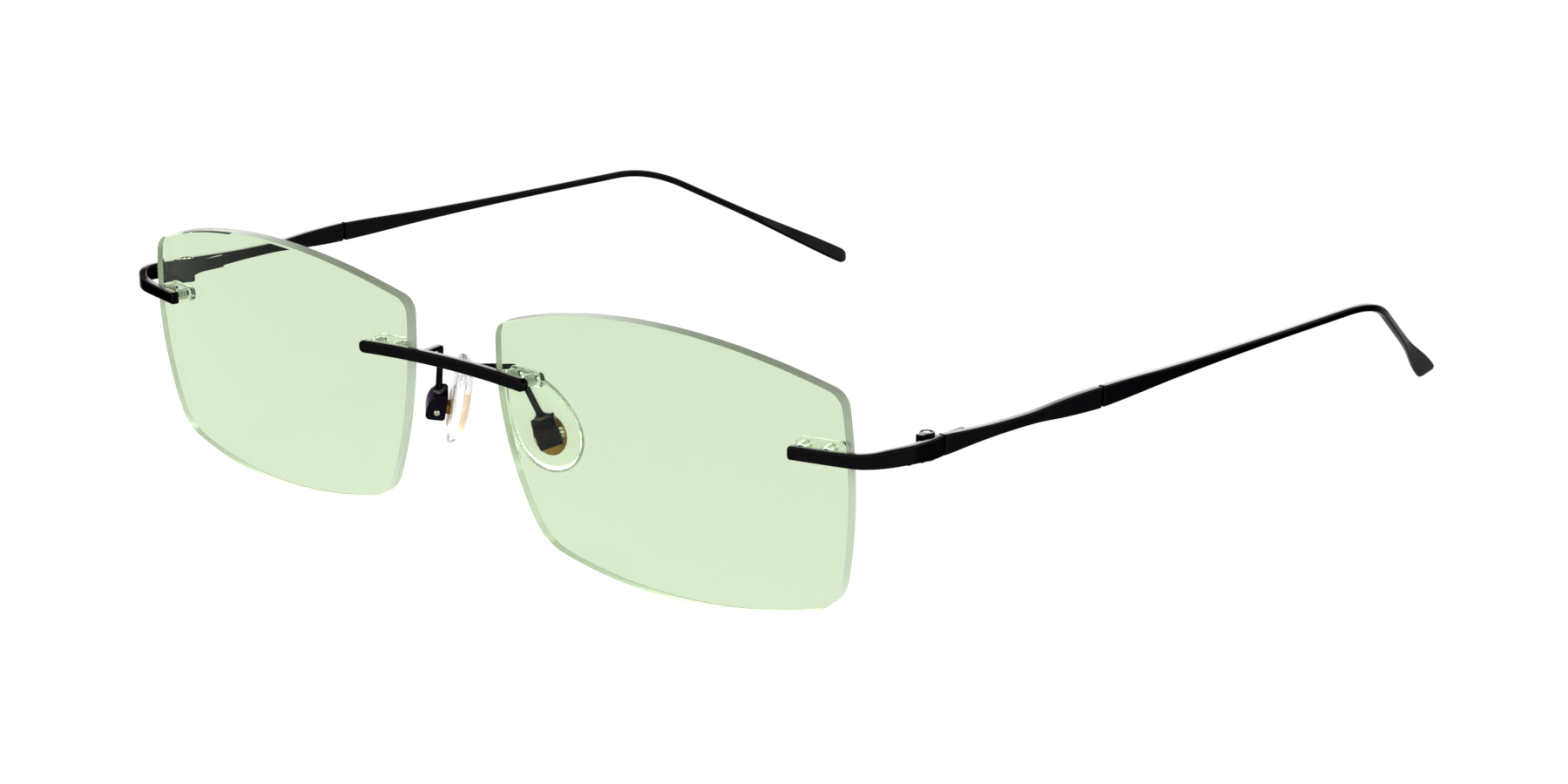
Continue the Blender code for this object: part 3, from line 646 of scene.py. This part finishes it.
def tinted_glass():
    """Pale green lens, slightly deeper in colour towards the top."""
    finish = Finish("tinted_lens", Transmission_Weight=1.0, Roughness=0.0, IOR=1.12)
    finish.colour(finish.rising(LENS_LOW, LENS_HIGH), (0.655, 0.765, 0.573), (0.613, 0.735, 0.527))
    finish.rough(finish.noise(0.2, 2), 0.0, 0.004)
    finish.light_passes((0.86, 0.93, 0.82))
    return finish.material


def ground_edge():
    """Edge of the lens, with painted shade that makes it darkest above, painted light that makes it
    palest below, and lines along it.
    """
    finish = Finish("lens_edge", Transmission_Weight=0.35, IOR=1.2, Specular_IOR_Level=0.1)
    lines = finish.noise(1.0, 5, (0.12, 7.0, 0.12), 0.6)
    # painted shade darkens the edge towards the top, and painted light pales it towards the bottom
    top_shade_mask = finish.rising(LENS_HIGH - 16.0, LENS_HIGH - 2.5)
    lower = finish.rising(LENS_LOW + 9.0, LENS_LOW + 4.0)
    sides = finish.mixed(top_shade_mask, (0.45, 0.52, 0.41), (0.12, 0.15, 0.10))
    shaded_and_lit_tone = finish.mixed(lower, sides, (0.58, 0.66, 0.53))
    finish.colour(finish.ranged(lines, 0.0, 0.45), shaded_and_lit_tone, (0.20, 0.24, 0.18))
    finish.rough(lines, 0.1, 0.35)
    finish.bump(lines, 0.004, 0.4)
    finish.light_passes((0.8, 0.86, 0.78))
    return finish.material


def clear_plastic():
    """Clear moulded plug with flow marks."""
    finish = Finish("clear_plug", Transmission_Weight=1.0, IOR=1.3)
    marks = finish.noise(1.2, 4, (1, 1, 2))
    finish.colour(marks, (0.86, 0.89, 0.84), (0.97, 0.98, 0.96))
    finish.rough(marks, 0.0, 0.06)
    finish.bump(marks, 0.004, 0.3)
    finish.light_passes((0.93, 0.94, 0.93))
    return finish.material


def clear_silicone():
    """Soft clear silicone, faintly milky, with painted shade that darkens it where it is seen edge-on.
    """
    finish = Finish("clear_silicone", Transmission_Weight=0.9, IOR=1.41)
    cloud = finish.noise(0.45, 3)
    body = finish.mixed(cloud, (0.88, 0.88, 0.89), (0.98, 0.98, 0.98))
    # painted shade: the colour darkens where the surface is seen edge-on, standing in for the
    # darkening of clear silicone at a glancing view
    edge = finish.ranged(finish.edge_on(), 0.0, 0.9, 0.35, 0.9)
    finish.colour(edge, body, (0.28, 0.28, 0.31))
    finish.rough(cloud, 0.0, 0.08)
    finish.bump(finish.noise(0.9, 4), 0.07, 0.7)
    finish.light_passes((0.95, 0.95, 0.95))
    return finish.material


def gold_plate(name, dark, light):
    """Brushed gold plate, browner in patches."""
    finish = Finish(name, Metallic=1.0)
    brushed = finish.noise(1.0, 4, (0.7, 7.0, 0.7))
    finish.colour(finish.noise(0.6, 4), dark, light)
    finish.rough(brushed, 0.22, 0.42)
    finish.bump(brushed, 0.01, 0.5)
    return finish.material


def screw_steel():
    """Warm nickel-plated screw with turning marks."""
    finish = Finish("screw_steel", Metallic=1.0)
    marks = finish.noise(3.0, 4)
    finish.colour(marks, (0.36, 0.33, 0.27), (0.66, 0.62, 0.52))
    finish.rough(marks, 0.12, 0.3)
    finish.bump(marks, 0.01, 0.5)
    return finish.material


def pale_floor():
    """Plain white studio sweep."""
    finish = Finish("pale_floor", Roughness=0.9, Specular_IOR_Level=0.0,
                    Emission_Color=(1, 1, 1, 1), Emission_Strength=0.86)
    speckle = finish.noise(0.02, 3)
    finish.colour(speckle, (0.17, 0.17, 0.17), (0.19, 0.19, 0.19))
    return finish.material


BLACK = black_metal()
CLAMP = clamp_metal()
SOLDER = solder_metal()
GLASS = tinted_glass()
EDGE = ground_edge()
PLASTIC = clear_plastic()
SILICONE = clear_silicone()
# painted shade and painted light: one gold plate in two copies, brown as if in shade for its back and
# pale as if lit for its face towards the nose
SHADED_BROWN_GOLD = gold_plate("shaded_brown_gold", (0.08, 0.035, 0.01), (0.38, 0.2, 0.05))
LIT_PALE_GOLD = gold_plate("lit_pale_gold", (0.6, 0.36, 0.12), (0.95, 0.7, 0.34))
STEEL = screw_steel()


# ---- lens ----
def arc_centre(first, second, radius):
    """Centre of a side arc that is tangent to two corner arcs."""
    reach_1 = radius - first[2]
    reach_2 = radius - second[2]
    start = Vector(first[:2])
    span = Vector(second[:2]) - start
    along = (span.length_squared + reach_1 ** 2 - reach_2 ** 2) / (2 * span.length)
    inward = math.sqrt(reach_1 ** 2 - along ** 2)
    unit = span.normalized()
    return start + unit * along + Vector((-unit.y, unit.x)) * inward


def swing(centre, start, end, radius, steps):
    """Points of an arc about a centre between two directions, without its end."""
    turn = math.atan2(start.x * end.y - start.y * end.x, start.dot(end))
    first = math.atan2(start.y, start.x)
    last = first + turn
    return arc_points(centre, radius, math.degrees(first), math.degrees(last), steps)[:-1]


def lens_outline(draw=0.0, corner_steps=14, side_steps=34):
    """Outline of the lens, drawn in by a distance."""
    corners = [(x, y, radius - draw) for x, y, radius in LENS_CORNERS]
    radii = [radius - draw for radius in LENS_SIDE_RADII]
    centres = [arc_centre(corners[i], corners[(i + 1) % 4], radii[i]) for i in range(4)]
    points = []
    for i, corner in enumerate(corners):
        middle = Vector(corner[:2])
        after = middle - centres[i]
        points += swing(middle, middle - centres[i - 1], after, corner[2], corner_steps)
        next_corner = Vector(corners[(i + 1) % 4][:2])
        points += swing(centres[i], after, next_corner - centres[i], radii[i], side_steps)
    return points


def lens_axes():
    """Across, up and front directions of the lens."""
    across = Vector((math.cos(LENS_WRAP), math.sin(LENS_WRAP), 0))
    level_front = Vector((math.sin(LENS_WRAP), -math.cos(LENS_WRAP), 0))
    up = UP * math.cos(LENS_TILT) + level_front * math.sin(LENS_TILT)
    front = level_front * math.cos(LENS_TILT) - UP * math.sin(LENS_TILT)
    return across, up, front


def lens_point(u, v, depth=0.0):
    """A point on the lens front curve, or behind it by depth."""
    across, up, front = lens_axes()
    sag = (u * u + v * v) / (2 * LENS_BASE_RADIUS)
    return Vector((LENS_OFFSET, 0, 0)) + across * u + up * v - front * (sag + depth)


def mount_frame(mount):
    """Frame on the lens front: X along the face, Y up, Z backwards."""
    u, v = mount
    across = lens_point(u + 1, v) - lens_point(u - 1, v)
    across.z = 0
    across.normalize()
    return frame_from(lens_point(u, v), across, UP, Vector((-across.y, across.x, 0)))


def pin_frames(mount):
    """Frames of the two pins of a mount."""
    place = mount_frame(mount)
    return [place @ Matrix.Translation((side * PIN_PITCH / 2, 0, 0)) for side in (-1, 1)]


def make_lens(name):
    """A curved lens with a bevelled, ground edge and four pin holes."""
    loops = []
    rim = lens_outline()
    bevel = lens_outline(LENS_BEVEL)
    for depth, bevel_depth in ((0.0, LENS_BEVEL), (LENS_THICKNESS, LENS_THICKNESS - LENS_BEVEL)):
        face = [[lens_point(p.x * f, p.y * f, depth) for p in bevel] for f in LENS_RINGS]
        face.append([lens_point(p.x, p.y, bevel_depth) for p in rim])
        loops.extend(face if depth == 0.0 else reversed(face))
    tips = (lens_point(0, 0), lens_point(0, 0, LENS_THICKNESS))
    lens = make(name, skin(loops, tips), GLASS)
    holes = [rod(LENS_HOLE_RADIUS, -2, 5, pin) for mount in (NASAL_MOUNT, TEMPLE_MOUNT)
             for pin in pin_frames(mount)]
    combine(lens, holes, "DIFFERENCE")
    front = lens_axes()[2]
    add_finish(lens, EDGE, lambda normal: abs(normal.dot(front)) < 0.5)
    return shade(lens, 25)


def make_plug(name, mount):
    """Clear double bushing: a flange behind the lens and two ribbed sleeves."""
    near = LENS_THICKNESS + PLUG_GAP
    outline = rounded_rectangle(PLUG_LENGTH, PLUG_HEIGHT, PLUG_HEIGHT / 2 - 0.1, 14)
    plug = make(name, slab(outline, near, near + PLUG_FLANGE, mount_frame(mount), 0.16, 4), PLASTIC)
    profile = []
    for rib in range(SLEEVE_RIBS):
        groove = SLEEVE_RIB_DEPTH if rib % 2 else 0.0
        profile.append((SLEEVE_RADIUS - groove, SLEEVE_START + rib * SLEEVE_RIB_PITCH))
    profile.append((SLEEVE_RADIUS, near + 0.3))
    pins = pin_frames(mount)
    combine(plug, [turned(profile, pin) for pin in pins], "UNION")
    combine(plug, [rod(SLEEVE_BORE_RADIUS, -1, 6, pin) for pin in pins], "DIFFERENCE")
    return shade(plug)


# ---- bridge and endpieces ----
def pin_profile(start):
    """Barbed mounting pin with a rounded tip behind the plug."""
    end = LENS_THICKNESS + PLUG_FLANGE + 0.3
    profile = [(PIN_RADIUS, start), (PIN_RADIUS, 0.3)]
    for barb in range(PIN_BARBS):
        level = 0.45 + barb * PIN_BARB_PITCH
        profile += [(PIN_RADIUS - PIN_BARB_DEPTH, level), (PIN_RADIUS, level + 0.3)]
    return profile + [(PIN_RADIUS, end - PIN_ROUND), (PIN_RADIUS - PIN_ROUND, end)]


def bridge_centre(x):
    """Centre line of the bridge bar."""
    arch = 1 - (x / BRIDGE_HALF_LENGTH) ** 2
    return Vector((x, BRIDGE_FRONT + BRIDGE_BOW * arch, BRIDGE_LEVEL + BRIDGE_ARCH * arch))


def make_bridge(name):
    """Round-ended bar across both lenses, with two pins into each."""
    places = (BRIDGE_HALF_LENGTH * (k / 60 - 1) for k in range(121))
    rail = Rail([bridge_centre(x) for x in places])
    end = (BRIDGE_HEIGHT / 2, 0.3)
    solid = bar(rail, ((0, BRIDGE_HEIGHT),), ((0, BAR_DEPTH),), ((0, BAR_CORNER),), (end, end), 0.4)
    bridge = make(name, solid, BLACK)
    pins = [turned(pin_profile(-0.9), pin) for pin in pin_frames(NASAL_MOUNT)]
    twins = [([Vector((-v.x, v.y, v.z)) for v in verts], faces) for verts, faces in pins]
    return shade(combine(bridge, pins + twins, "UNION"))


def endpiece_rail():
    """Line of the endpiece, from its tip to the hinge."""
    place = mount_frame(TEMPLE_MOUNT)
    along = place.col[0].to_3d()
    back = Vector((-math.sin(ENDPIECE_TOE), math.cos(ENDPIECE_TOE), 0))
    tip = place @ Vector((ENDPIECE_TIP, 0, -BAR_GAP - BAR_DEPTH / 2))
    tip.z = ENDPIECE_LEVEL
    end = Vector((HINGE_X, ENDPIECE_END, ENDPIECE_LEVEL))
    gap = end - tip
    reach = (gap.x * back.y - gap.y * back.x) / (along.x * back.y - along.y * back.x)
    flat = [tip] + bend(tip + along * reach, along, back, ENDPIECE_BEND_RADIUS, 40) + [end]
    level = Rail(flat)
    marks = (level.length * k / 80 for k in range(81))
    return Rail([level.at(s) + UP * smooth(ENDPIECE_CLIMB, s) for s in marks])


def make_endpiece(name):
    """Bar from the lens front round to the hinge, with two pins."""
    rail = endpiece_rail()
    ends = ((0.45, 0.3), (0.1, 0.1))
    solid = bar(rail, ENDPIECE_HEIGHTS, ((0, BAR_DEPTH),), ((0, BAR_CORNER),), ends, 0.3)
    endpiece = make(name, solid, BLACK)
    pins = [turned(pin_profile(-0.6), pin) for pin in pin_frames(TEMPLE_MOUNT)]
    combine(endpiece, pins, "UNION")
    room = rod(KNUCKLE_RADIUS + KNUCKLE_CLEARANCE, *HINGE_CUT, HINGE_PLACE, 80)
    return shade(combine(endpiece, [room], "DIFFERENCE"))


# ---- hinge ----
HINGE_BORE = rod(HINGE_SCREW_RADIUS + SCREW_PLAY, *HINGE_CUT, HINGE_PLACE)  # screw hole


def knuckle_outline(inner, outer, near, far):
    """Plan outline of a knuckle disc that widens into a plate.

    All sizes are measured from the hinge axis: the plate lies between inner
    and outer across the face and between near and far along the temple.
    """
    facing = 1 if far > 0 else -1
    first = -math.acos(outer / KNUCKLE_RADIUS)
    points = []
    for step in range(31):
        angle = first + (math.pi - first) * step / 30
        points.append(Vector((math.cos(angle), -facing * math.sin(angle))) * KNUCKLE_RADIUS)
    points += [Vector((inner, near)), Vector((inner, far)), Vector((outer, far))]
    return points if facing < 0 else list(reversed(points))


def make_hinge_frame(name):
    """Fixed hinge half: a foot on the endpiece and a barrel with a slot."""
    outer = HINGE_X - HINGE_AXIS.x - BAR_DEPTH / 2 - HINGE_GLUE
    outline = knuckle_outline(-0.3, outer, -1.2, -1.7)
    half = make(name, slab(outline, HINGE_BOTTOM, HINGE_TOP, HINGE_PLACE, HINGE_RIM), BLACK)
    bar_end = Matrix.Translation((HINGE_X, ENDPIECE_END, 0)) @ Matrix.Rotation(ENDPIECE_TOE, 4, "Z")
    thickness, length = HINGE_FOOT_SIZE
    inwards = BAR_DEPTH / 2 + HINGE_GLUE + thickness / 2
    middle = Matrix.Translation((-inwards, -HINGE_FOOT_BACK, 0))
    plan = rounded_rectangle(thickness, length, 0.2)
    combine(half, [slab(plan, *HINGE_FOOT, bar_end @ middle, HINGE_RIM)], "UNION")
    reach = 6
    back = Matrix.Translation((0, reach / 2 - KNUCKLE_RADIUS - 0.1, 0))
    slot = slab(rounded_rectangle(reach, reach, 0.1), *HINGE_SLOT, HINGE_PLACE @ back, 0.02)
    head = HINGE_HEAD[0] + SCREW_PLAY
    mouth = head + 2 * HINGE_LIP
    seat = turned(((head, HINGE_TOP - HINGE_HEAD[1]), (head, HINGE_TOP - HINGE_LIP),
                   (mouth, HINGE_TOP + HINGE_LIP), (mouth, HINGE_CUT[1])), HINGE_PLACE)
    return shade(combine(half, [slot, HINGE_BORE, seat], "DIFFERENCE"))


def make_hinge_temple(name):
    """Moving hinge half: a plate on the temple with the middle knuckle."""
    outer = HINGE_X - HINGE_AXIS.x - TEMPLE_DEPTH / 2 - HINGE_GLUE
    low = HINGE_SLOT[0] + HINGE_PLAY
    high = HINGE_SLOT[1] - HINGE_PLAY
    outline = knuckle_outline(0.1, outer, 2.6, 6.6)
    half = make(name, slab(outline, low, high, HINGE_PLACE, 0.07), BLACK)
    return shade(combine(half, [HINGE_BORE], "DIFFERENCE"))


def screw_slot(place, half_width, bottom):
    """Cutter for the driver slot of a screw head."""
    outline = rounded_rectangle(3, 2 * half_width, half_width * 0.3)
    return slab(outline, bottom, bottom + 2, place, 0.02)


def make_hinge_screw(name):
    """Slotted screw, its domed head sunk in the top of the hinge."""
    radius, height = HINGE_HEAD
    top = HINGE_TOP - SCREW_PLAY
    seat = HINGE_TOP - height + SCREW_PLAY
    profile = [(0.3, HINGE_BOTTOM), (HINGE_SCREW_RADIUS, HINGE_BOTTOM + 0.1)]
    profile += [(HINGE_SCREW_RADIUS, seat), (radius, seat + 0.02), (radius, top - 0.12)]
    profile += [(radius - 0.06, top - 0.04), (radius - 0.16, top), (0.1, top)]
    screw = make(name, turned(profile, HINGE_PLACE), STEEL)
    turn = Matrix.Rotation(math.radians(40), 4, "Z")
    slot = screw_slot(HINGE_PLACE @ turn, 0.11, top - 0.14)
    return shade(combine(screw, [slot], "DIFFERENCE"))


# ---- temple ----
def by_distance(table, start, way):
    """A table by distance back, changed to distance along a straight rail."""
    return tuple(((y - start.y) / way.y, value) for y, value in table)


def make_temple_front(name):
    """Waisted front length of the temple, chamfered at its groove."""
    start = Vector((HINGE_X, TEMPLE_START, HINGE_LEVEL))
    way = (TEMPLE_JOINT - start).normalized()
    end = start + way * ((FRONT_END - TEMPLE_START) / way.y)
    heights = by_distance(FRONT_HEIGHTS, start, way)
    ends = ((0.1, 0.1), (0.28, 0.2))
    solid = bar(Rail([start, end]), heights, ((0, TEMPLE_DEPTH),), ((0, 0.2),), ends, 0.4)
    return shade(make(name, solid, BLACK))


def make_temple_rear(name):
    """Tapering rear length, bent down behind the ear to a flat paddle tip."""
    way_in = (TEMPLE_CORNER - TEMPLE_JOINT).normalized()
    way_out = (TEMPLE_TIP - TEMPLE_CORNER).normalized()
    start = TEMPLE_JOINT + way_in * ((REAR_START - TEMPLE_JOINT.y) / way_in.y)
    arc = bend(TEMPLE_CORNER, way_in, way_out, TEMPLE_BEND_RADIUS, 60)
    rail = Rail([start] + arc + [TEMPLE_TIP])
    tail = (TEMPLE_TIP - arc[-1]).length
    tail_start = rail.length - tail
    parts, *columns = zip(*PADDLE)
    marks = [tail_start + tail * part for part in parts]
    depths, heights, slants, twists = (tuple(zip(marks, column)) for column in columns)
    depths = by_distance(REAR_DEPTHS, start, way_in) + depths
    heights = by_distance(REAR_HEIGHTS, start, way_in) + heights
    corners = by_distance(REAR_CORNERS, start, way_in)
    corners += ((tail_start, 0.3), (rail.length, 0.3))
    ends = ((0.28, 0.2), (1.15, 0.3))
    solid = bar(rail, heights, depths, corners, ends, 0.5, STEADY + slants, STEADY + twists)
    rear = make(name, solid, BLACK)
    side = way_in.cross(UP).normalized()
    seat = frame_from(start, side, side.cross(way_in), way_in)
    tongue = slab(rounded_rectangle(*TENON, 0.1), FRONT_END - REAR_START + 0.02, 0.6, seat, 0.03)
    return shade(combine(rear, [tongue], "UNION"))


# ---- nose pads ----
PAD_UP = (PAD_UP_HINT - PAD_FACING * PAD_UP_HINT.dot(PAD_FACING)).normalized()
PAD_ACROSS = PAD_FACING.cross(PAD_UP)
# frames on the pivot: the pad seen from the nose, and from along its screw
PAD_PLAN = frame_from(PAD_PIVOT, PAD_ACROSS, PAD_UP, PAD_FACING)
PAD_PROFILE = frame_from(PAD_PIVOT, PAD_FACING, PAD_UP, PAD_ACROSS)
# cutter for the screw hole through the box and the pad stem
PAD_BORE = rod(PAD_SCREW_RADIUS + SCREW_PLAY, -3, 3, PAD_PROFILE)


def make_pad_box(name):
    """D-shaped box that holds the pad stem, open towards the nose."""
    inner_face = BOX_FACE - BOX_CHAMFER
    outline = [Vector((BOX_FACE, BOX_LOW + BOX_CHAMFER)), Vector((BOX_FACE, BOX_HIGH - BOX_CHAMFER))]
    outline.append(Vector((inner_face, BOX_HIGH)))
    for step in range(17):
        angle = math.pi / 2 * step / 16
        x = BOX_BELLY - (BOX_BELLY - BOX_BACK) * math.sin(angle) ** 0.8
        outline.append(Vector((x, -0.2 + (BOX_HIGH + 0.2) * math.cos(angle))))
    corner = Vector((BOX_BACK + BOX_CORNER, BOX_LOW + BOX_CORNER))
    outline += arc_points(corner, BOX_CORNER, 190, 270, 8) + [Vector((inner_face, BOX_LOW))]
    box = make(name, slab(outline, -BOX_HALF_WIDTH, BOX_HALF_WIDTH, PAD_PROFILE, 0.16, 4), CLAMP)
    low, high = BOX_LOW + 0.3, 1.25
    middle = Matrix.Translation((0, (low + high) / 2, 0))
    cavity = slab(rounded_rectangle(1.7, high - low, 0.15), -1.0, 2, PAD_PLAN @ middle, 0.05)
    return shade(combine(box, [cavity, PAD_BORE], "DIFFERENCE"))


def make_pad_core(name):
    """Oval metal plate inside the pad, with the stem that the screw holds."""
    half_width, half_height = PAD_STEM
    ends = (PAD_PLATE_OFFSET, PAD_PLATE_OFFSET + PAD_PLATE_THICKNESS)
    core = make(name, slab(oval(*PAD_PLATE_RADII), *ends, PAD_PLAN, 0.15), SHADED_BROWN_GOLD)
    eye = slab(oval(0.85, 0.85), -half_width, half_width, PAD_PROFILE, 0.1)
    outline = rounded_rectangle(2 * half_width, 2 * half_height, 0.1)
    stem = slab(outline, 0, PAD_PLATE_OFFSET + 0.2, PAD_PLAN, 0.03)
    combine(core, [eye, stem], "UNION")
    combine(core, [PAD_BORE], "DIFFERENCE")
    # painted light: the face towards the nose gets the pale gold, and the rest keeps the shaded brown
    # gold
    add_finish(core, LIT_PALE_GOLD, lambda normal: normal.dot(PAD_FACING) > 0.5)
    return shade(core)


def pad_rim(scale, teeth):
    """Teardrop outline of the pad, with fine teeth along one side."""
    points = []
    lean = Matrix.Rotation(PAD_LEAN, 2)
    for i in range(360):
        angle = math.radians(i)
        across, rise = math.cos(angle), math.sin(angle)
        bite = 1 - teeth * max(0.0, -across) * (0.5 + 0.5 * math.cos(PAD_TEETH * angle))
        spot = Vector((PAD_WIDTH / 2 * across * (1 - PAD_TAPER * rise), PAD_LENGTH / 2 * rise))
        points.append(lean @ spot * scale * bite + Vector(PAD_CENTRE))
    return points


def make_nose_pad(name):
    """Soft teardrop pad with a pocket for its metal plate."""
    rings = [(-PAD_BACK[-1][0] * (1 - k / 14), PAD_BACK) for k in range(14)]
    rings += [(PAD_FRONT[-1][0] * k / 22, PAD_FRONT) for k in range(23)]
    loops = []
    for out, table in rings:
        teeth = PAD_TOOTH_DEPTH * max(0.0, 1 - abs(out) / PAD_TEETH_REACH)
        rim = pad_rim(smooth(table, abs(out)), teeth)
        loops.append([PAD_PLAN @ Vector((p.x, p.y, PAD_RIM_OFFSET + out)) for p in rim])
    pad = make(name, skin(loops), SILICONE)
    # the silicone is moulded round the plate, so it grips its rim and front
    grip = 0.01
    depth = PAD_PLATE_OFFSET + PAD_PLATE_THICKNESS - grip
    hollow = oval(*(radius - grip for radius in PAD_PLATE_RADII))
    pocket = slab(hollow, 0, depth, PAD_PLAN, 0.15)
    return shade(combine(pad, [pocket], "DIFFERENCE"), 40)


def make_pad_screw(name):
    """Screw across the pad box, with a collar round its far end."""
    seat = BOX_HALF_WIDTH + 0.03
    tip = -seat - 0.2
    profile = [(0.22, tip + 0.16), (0.26, tip + 0.02), (0.36, tip), (PAD_SCREW_RADIUS, tip + 0.08)]
    profile += [(PAD_SCREW_RADIUS, seat), (0.72, seat + 0.01), (0.72, seat + 0.2), (0.62, seat + 0.24)]
    profile += [(0.62, seat + 0.3), (0.52, seat + 0.4), (0.4, seat + 0.42)]
    screw = make(name, turned(profile, PAD_PROFILE), STEEL)
    slot = screw_slot(PAD_PROFILE @ Matrix.Rotation(math.radians(35), 4, "Z"), 0.1, seat + 0.24)
    return shade(combine(screw, [slot], "DIFFERENCE"))


def arm_rail():
    """Line of the pad arm from the back of the bridge down to the box."""
    box_top = PAD_PLAN @ Vector((0, BOX_HIGH + 0.12, -0.1))
    way_in = (ARM_CORNER - ARM_NECK).normalized()
    way_out = (box_top - ARM_CORNER).normalized()
    neck = bend(ARM_NECK - BACK * 0.1, BACK, way_in, ARM_NECK_RADIUS, 6)
    elbow = bend(ARM_CORNER, way_in, way_out, ARM_BEND_RADIUS, 16)
    return Rail([ARM_START] + neck + elbow + [box_top])


def make_pad_arm(name):
    """Square wire that flares into its solder at both ends."""
    rail = arm_rail()
    end = rail.length
    # distance along the wire, size
    narrow = ((0, 1.15), (0.35, 0.95), (0.9, ARM_SIZE), (end - 0.9, ARM_SIZE),
              (end - 0.4, 0.9), (end, 1.25))
    broad = ((0, 1.25), (0.35, 1.0), (1.1, ARM_SIZE), (end - 0.9, ARM_SIZE),
             (end - 0.4, 0.95), (end, 1.6))
    hint = Vector((0.36, 0.93, 0)).normalized()
    loops = []
    for s in stops(end, ((0.1, 0.1), (0.1, 0.1)), 0.12):
        way = rail.way(s, 0.1)
        up = way.cross(hint).normalized()
        outline = rounded_rectangle(smooth(narrow, s), smooth(broad, s), 0.16, 4)
        side = up.cross(way)
        loops.append([rail.at(s) + side * p.x + up * p.y for p in outline])
    return shade(make(name, skin(loops), BLACK))


def make_solder(name):
    """Wrinkled run of solder where the arm enters the top of the box."""
    middle = Vector((0, BOX_HIGH - 0.12, -0.1))
    loops = []
    for ring in range(25):
        tilt = math.pi * (ring + 0.3) / 25.6
        loop = []
        for p in oval(math.sin(tilt), math.sin(tilt), 48):
            way = Vector((p.x, math.cos(tilt), p.y))
            lump = 1 + 0.16 * noise.noise(way * 2.3) + 0.05 * math.sin(way.x * 16)
            loop.append(PAD_PLAN @ (middle + way * SOLDER_SIZE * lump))
        loops.append(loop)
    return shade(make(name, skin(loops), SOLDER), 60)


# ---- assembly ----
def add(item, body, nodes=()):
    """Fix a finished piece to its body and hide the nodes it stands for."""
    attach(item, body)
    if nodes:
        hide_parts(*nodes)


def build_sides():
    """Make the left pieces, mirror each, and fix both to their bodies."""
    # name, maker, its mount, body, slot, the node it stands for
    plans = (
        ("lens", make_lens, (), "front", "tinted_lens", "lens"),
        ("nasal_bushing", make_plug, (NASAL_MOUNT,), "front", "clear_plug", "nasal_plug"),
        ("temple_bushing", make_plug, (TEMPLE_MOUNT,), "front", "clear_plug", "temple_plug"),
        ("endbar", make_endpiece, (), "front", "black_metal", "endpiece"),
        ("hinge_block", make_hinge_frame, (), "front", "black_metal", "hinge_frame"),
        ("hinge_pin", make_hinge_screw, (), "front", "screw_steel", "hinge_screw"),
        ("pad_wire", make_pad_arm, (), "front", "black_metal", "pad_arm"),
        ("pad_solder", make_solder, (), "front", "black_metal", None),
        ("pad_clamp", make_pad_box, (), "front", "black_metal", "pad_box"),
        ("clamp_screw", make_pad_screw, (), "front", "screw_steel", "pad_screw"),
        ("silicone_pad", make_nose_pad, (), "pad", "clear_silicone", "nose_pad"),
        ("pad_plate", make_pad_core, (), "pad", "gold_plate", "pad_core"),
        ("hinge_leaf", make_hinge_temple, (), "temple", "black_metal", "hinge_temple"),
        ("arm_front", make_temple_front, (), "temple", "black_metal", "temple_front"),
        ("arm_rear", make_temple_rear, (), "temple", "black_metal", "temple_rear"),
    )
    for name, maker, mount, body, slot, node in plans:
        left = maker(name + "_l", *mount)
        right = shade(mirrored(left, name + "_r"), 60 if maker is make_solder else 32)
        for item, side in ((left, "left"), (right, "right")):
            own_body = body if body == "front" else f"{body}_{side}"
            add(item, own_body, (f"{node}_{side}",) if node else ())


def build_floor():
    """A large pale floor, just below the lenses and the temple tips."""
    level = Matrix.Translation((0, 0, cad_bounds[0][2] - FLOOR_GAP))
    mesh = bpy.data.meshes.new("floor")
    work = bmesh.new()
    bmesh.ops.create_grid(work, x_segments=24, y_segments=24, size=FLOOR_REACH, matrix=level)
    work.to_mesh(mesh)
    work.free()
    mesh.materials.append(pale_floor())
    placed("floor", mesh)


def build_world():
    """Soft studio surround: a bright band low down, dimmer above."""
    world = bpy.data.worlds.new("studio")
    world.use_nodes = True
    nodes, links = world.node_tree.nodes, world.node_tree.links
    split = nodes.new("ShaderNodeSeparateXYZ")
    ramp = nodes.new("ShaderNodeValToRGB")
    links.new(nodes.new("ShaderNodeTexCoord").outputs["Generated"], split.inputs["Vector"])
    links.new(split.outputs["Z"], ramp.inputs["Fac"])
    links.new(ramp.outputs["Color"], nodes["Background"].inputs["Color"])
    nodes["Background"].inputs["Strength"].default_value = STUDIO_STRENGTH
    marks = ramp.color_ramp.elements
    for position, _ in STUDIO_BAND[1:-1]:
        marks.new(position)
    for mark, (_, value) in zip(marks, STUDIO_BAND):
        mark.color = (value, value, value, 1)
    bpy.context.scene.world = world


def build_light():
    """A square softbox overhead, turned to the middle of the object."""
    light = bpy.data.lights.new("overhead", "AREA")
    light.size = LIGHT_SIZE
    light.energy = LIGHT_POWER
    softbox = placed("overhead", light)
    softbox.location = LIGHT_PLACE
    softbox.rotation_euler = LIGHT_PLACE.to_track_quat("Z", "Y").to_euler()


def build_camera():
    """Camera at the three-quarter front view."""
    back = Vector((
        math.sin(CAMERA_AZIMUTH) * math.cos(CAMERA_ELEVATION),
        -math.cos(CAMERA_AZIMUTH) * math.cos(CAMERA_ELEVATION),
        math.sin(CAMERA_ELEVATION),
    ))
    data = bpy.data.cameras.new("camera")
    data.lens = CAMERA_LENS
    data.sensor_width = 36.0
    data.clip_start = 0.01
    camera = placed("camera", data)
    camera.location = (ORIGIN + CAMERA_AIM + back * CAMERA_REACH) * MM
    camera.rotation_euler = back.to_track_quat("Z", "Y").to_euler()
    bpy.context.scene.camera = camera


build_camera()
build_world()
build_light()
build_floor()
add(make_bridge("bridge_bar"), "front", ("bridge",))
build_sides()
bpy.context.scene.view_settings.view_transform = "Standard"
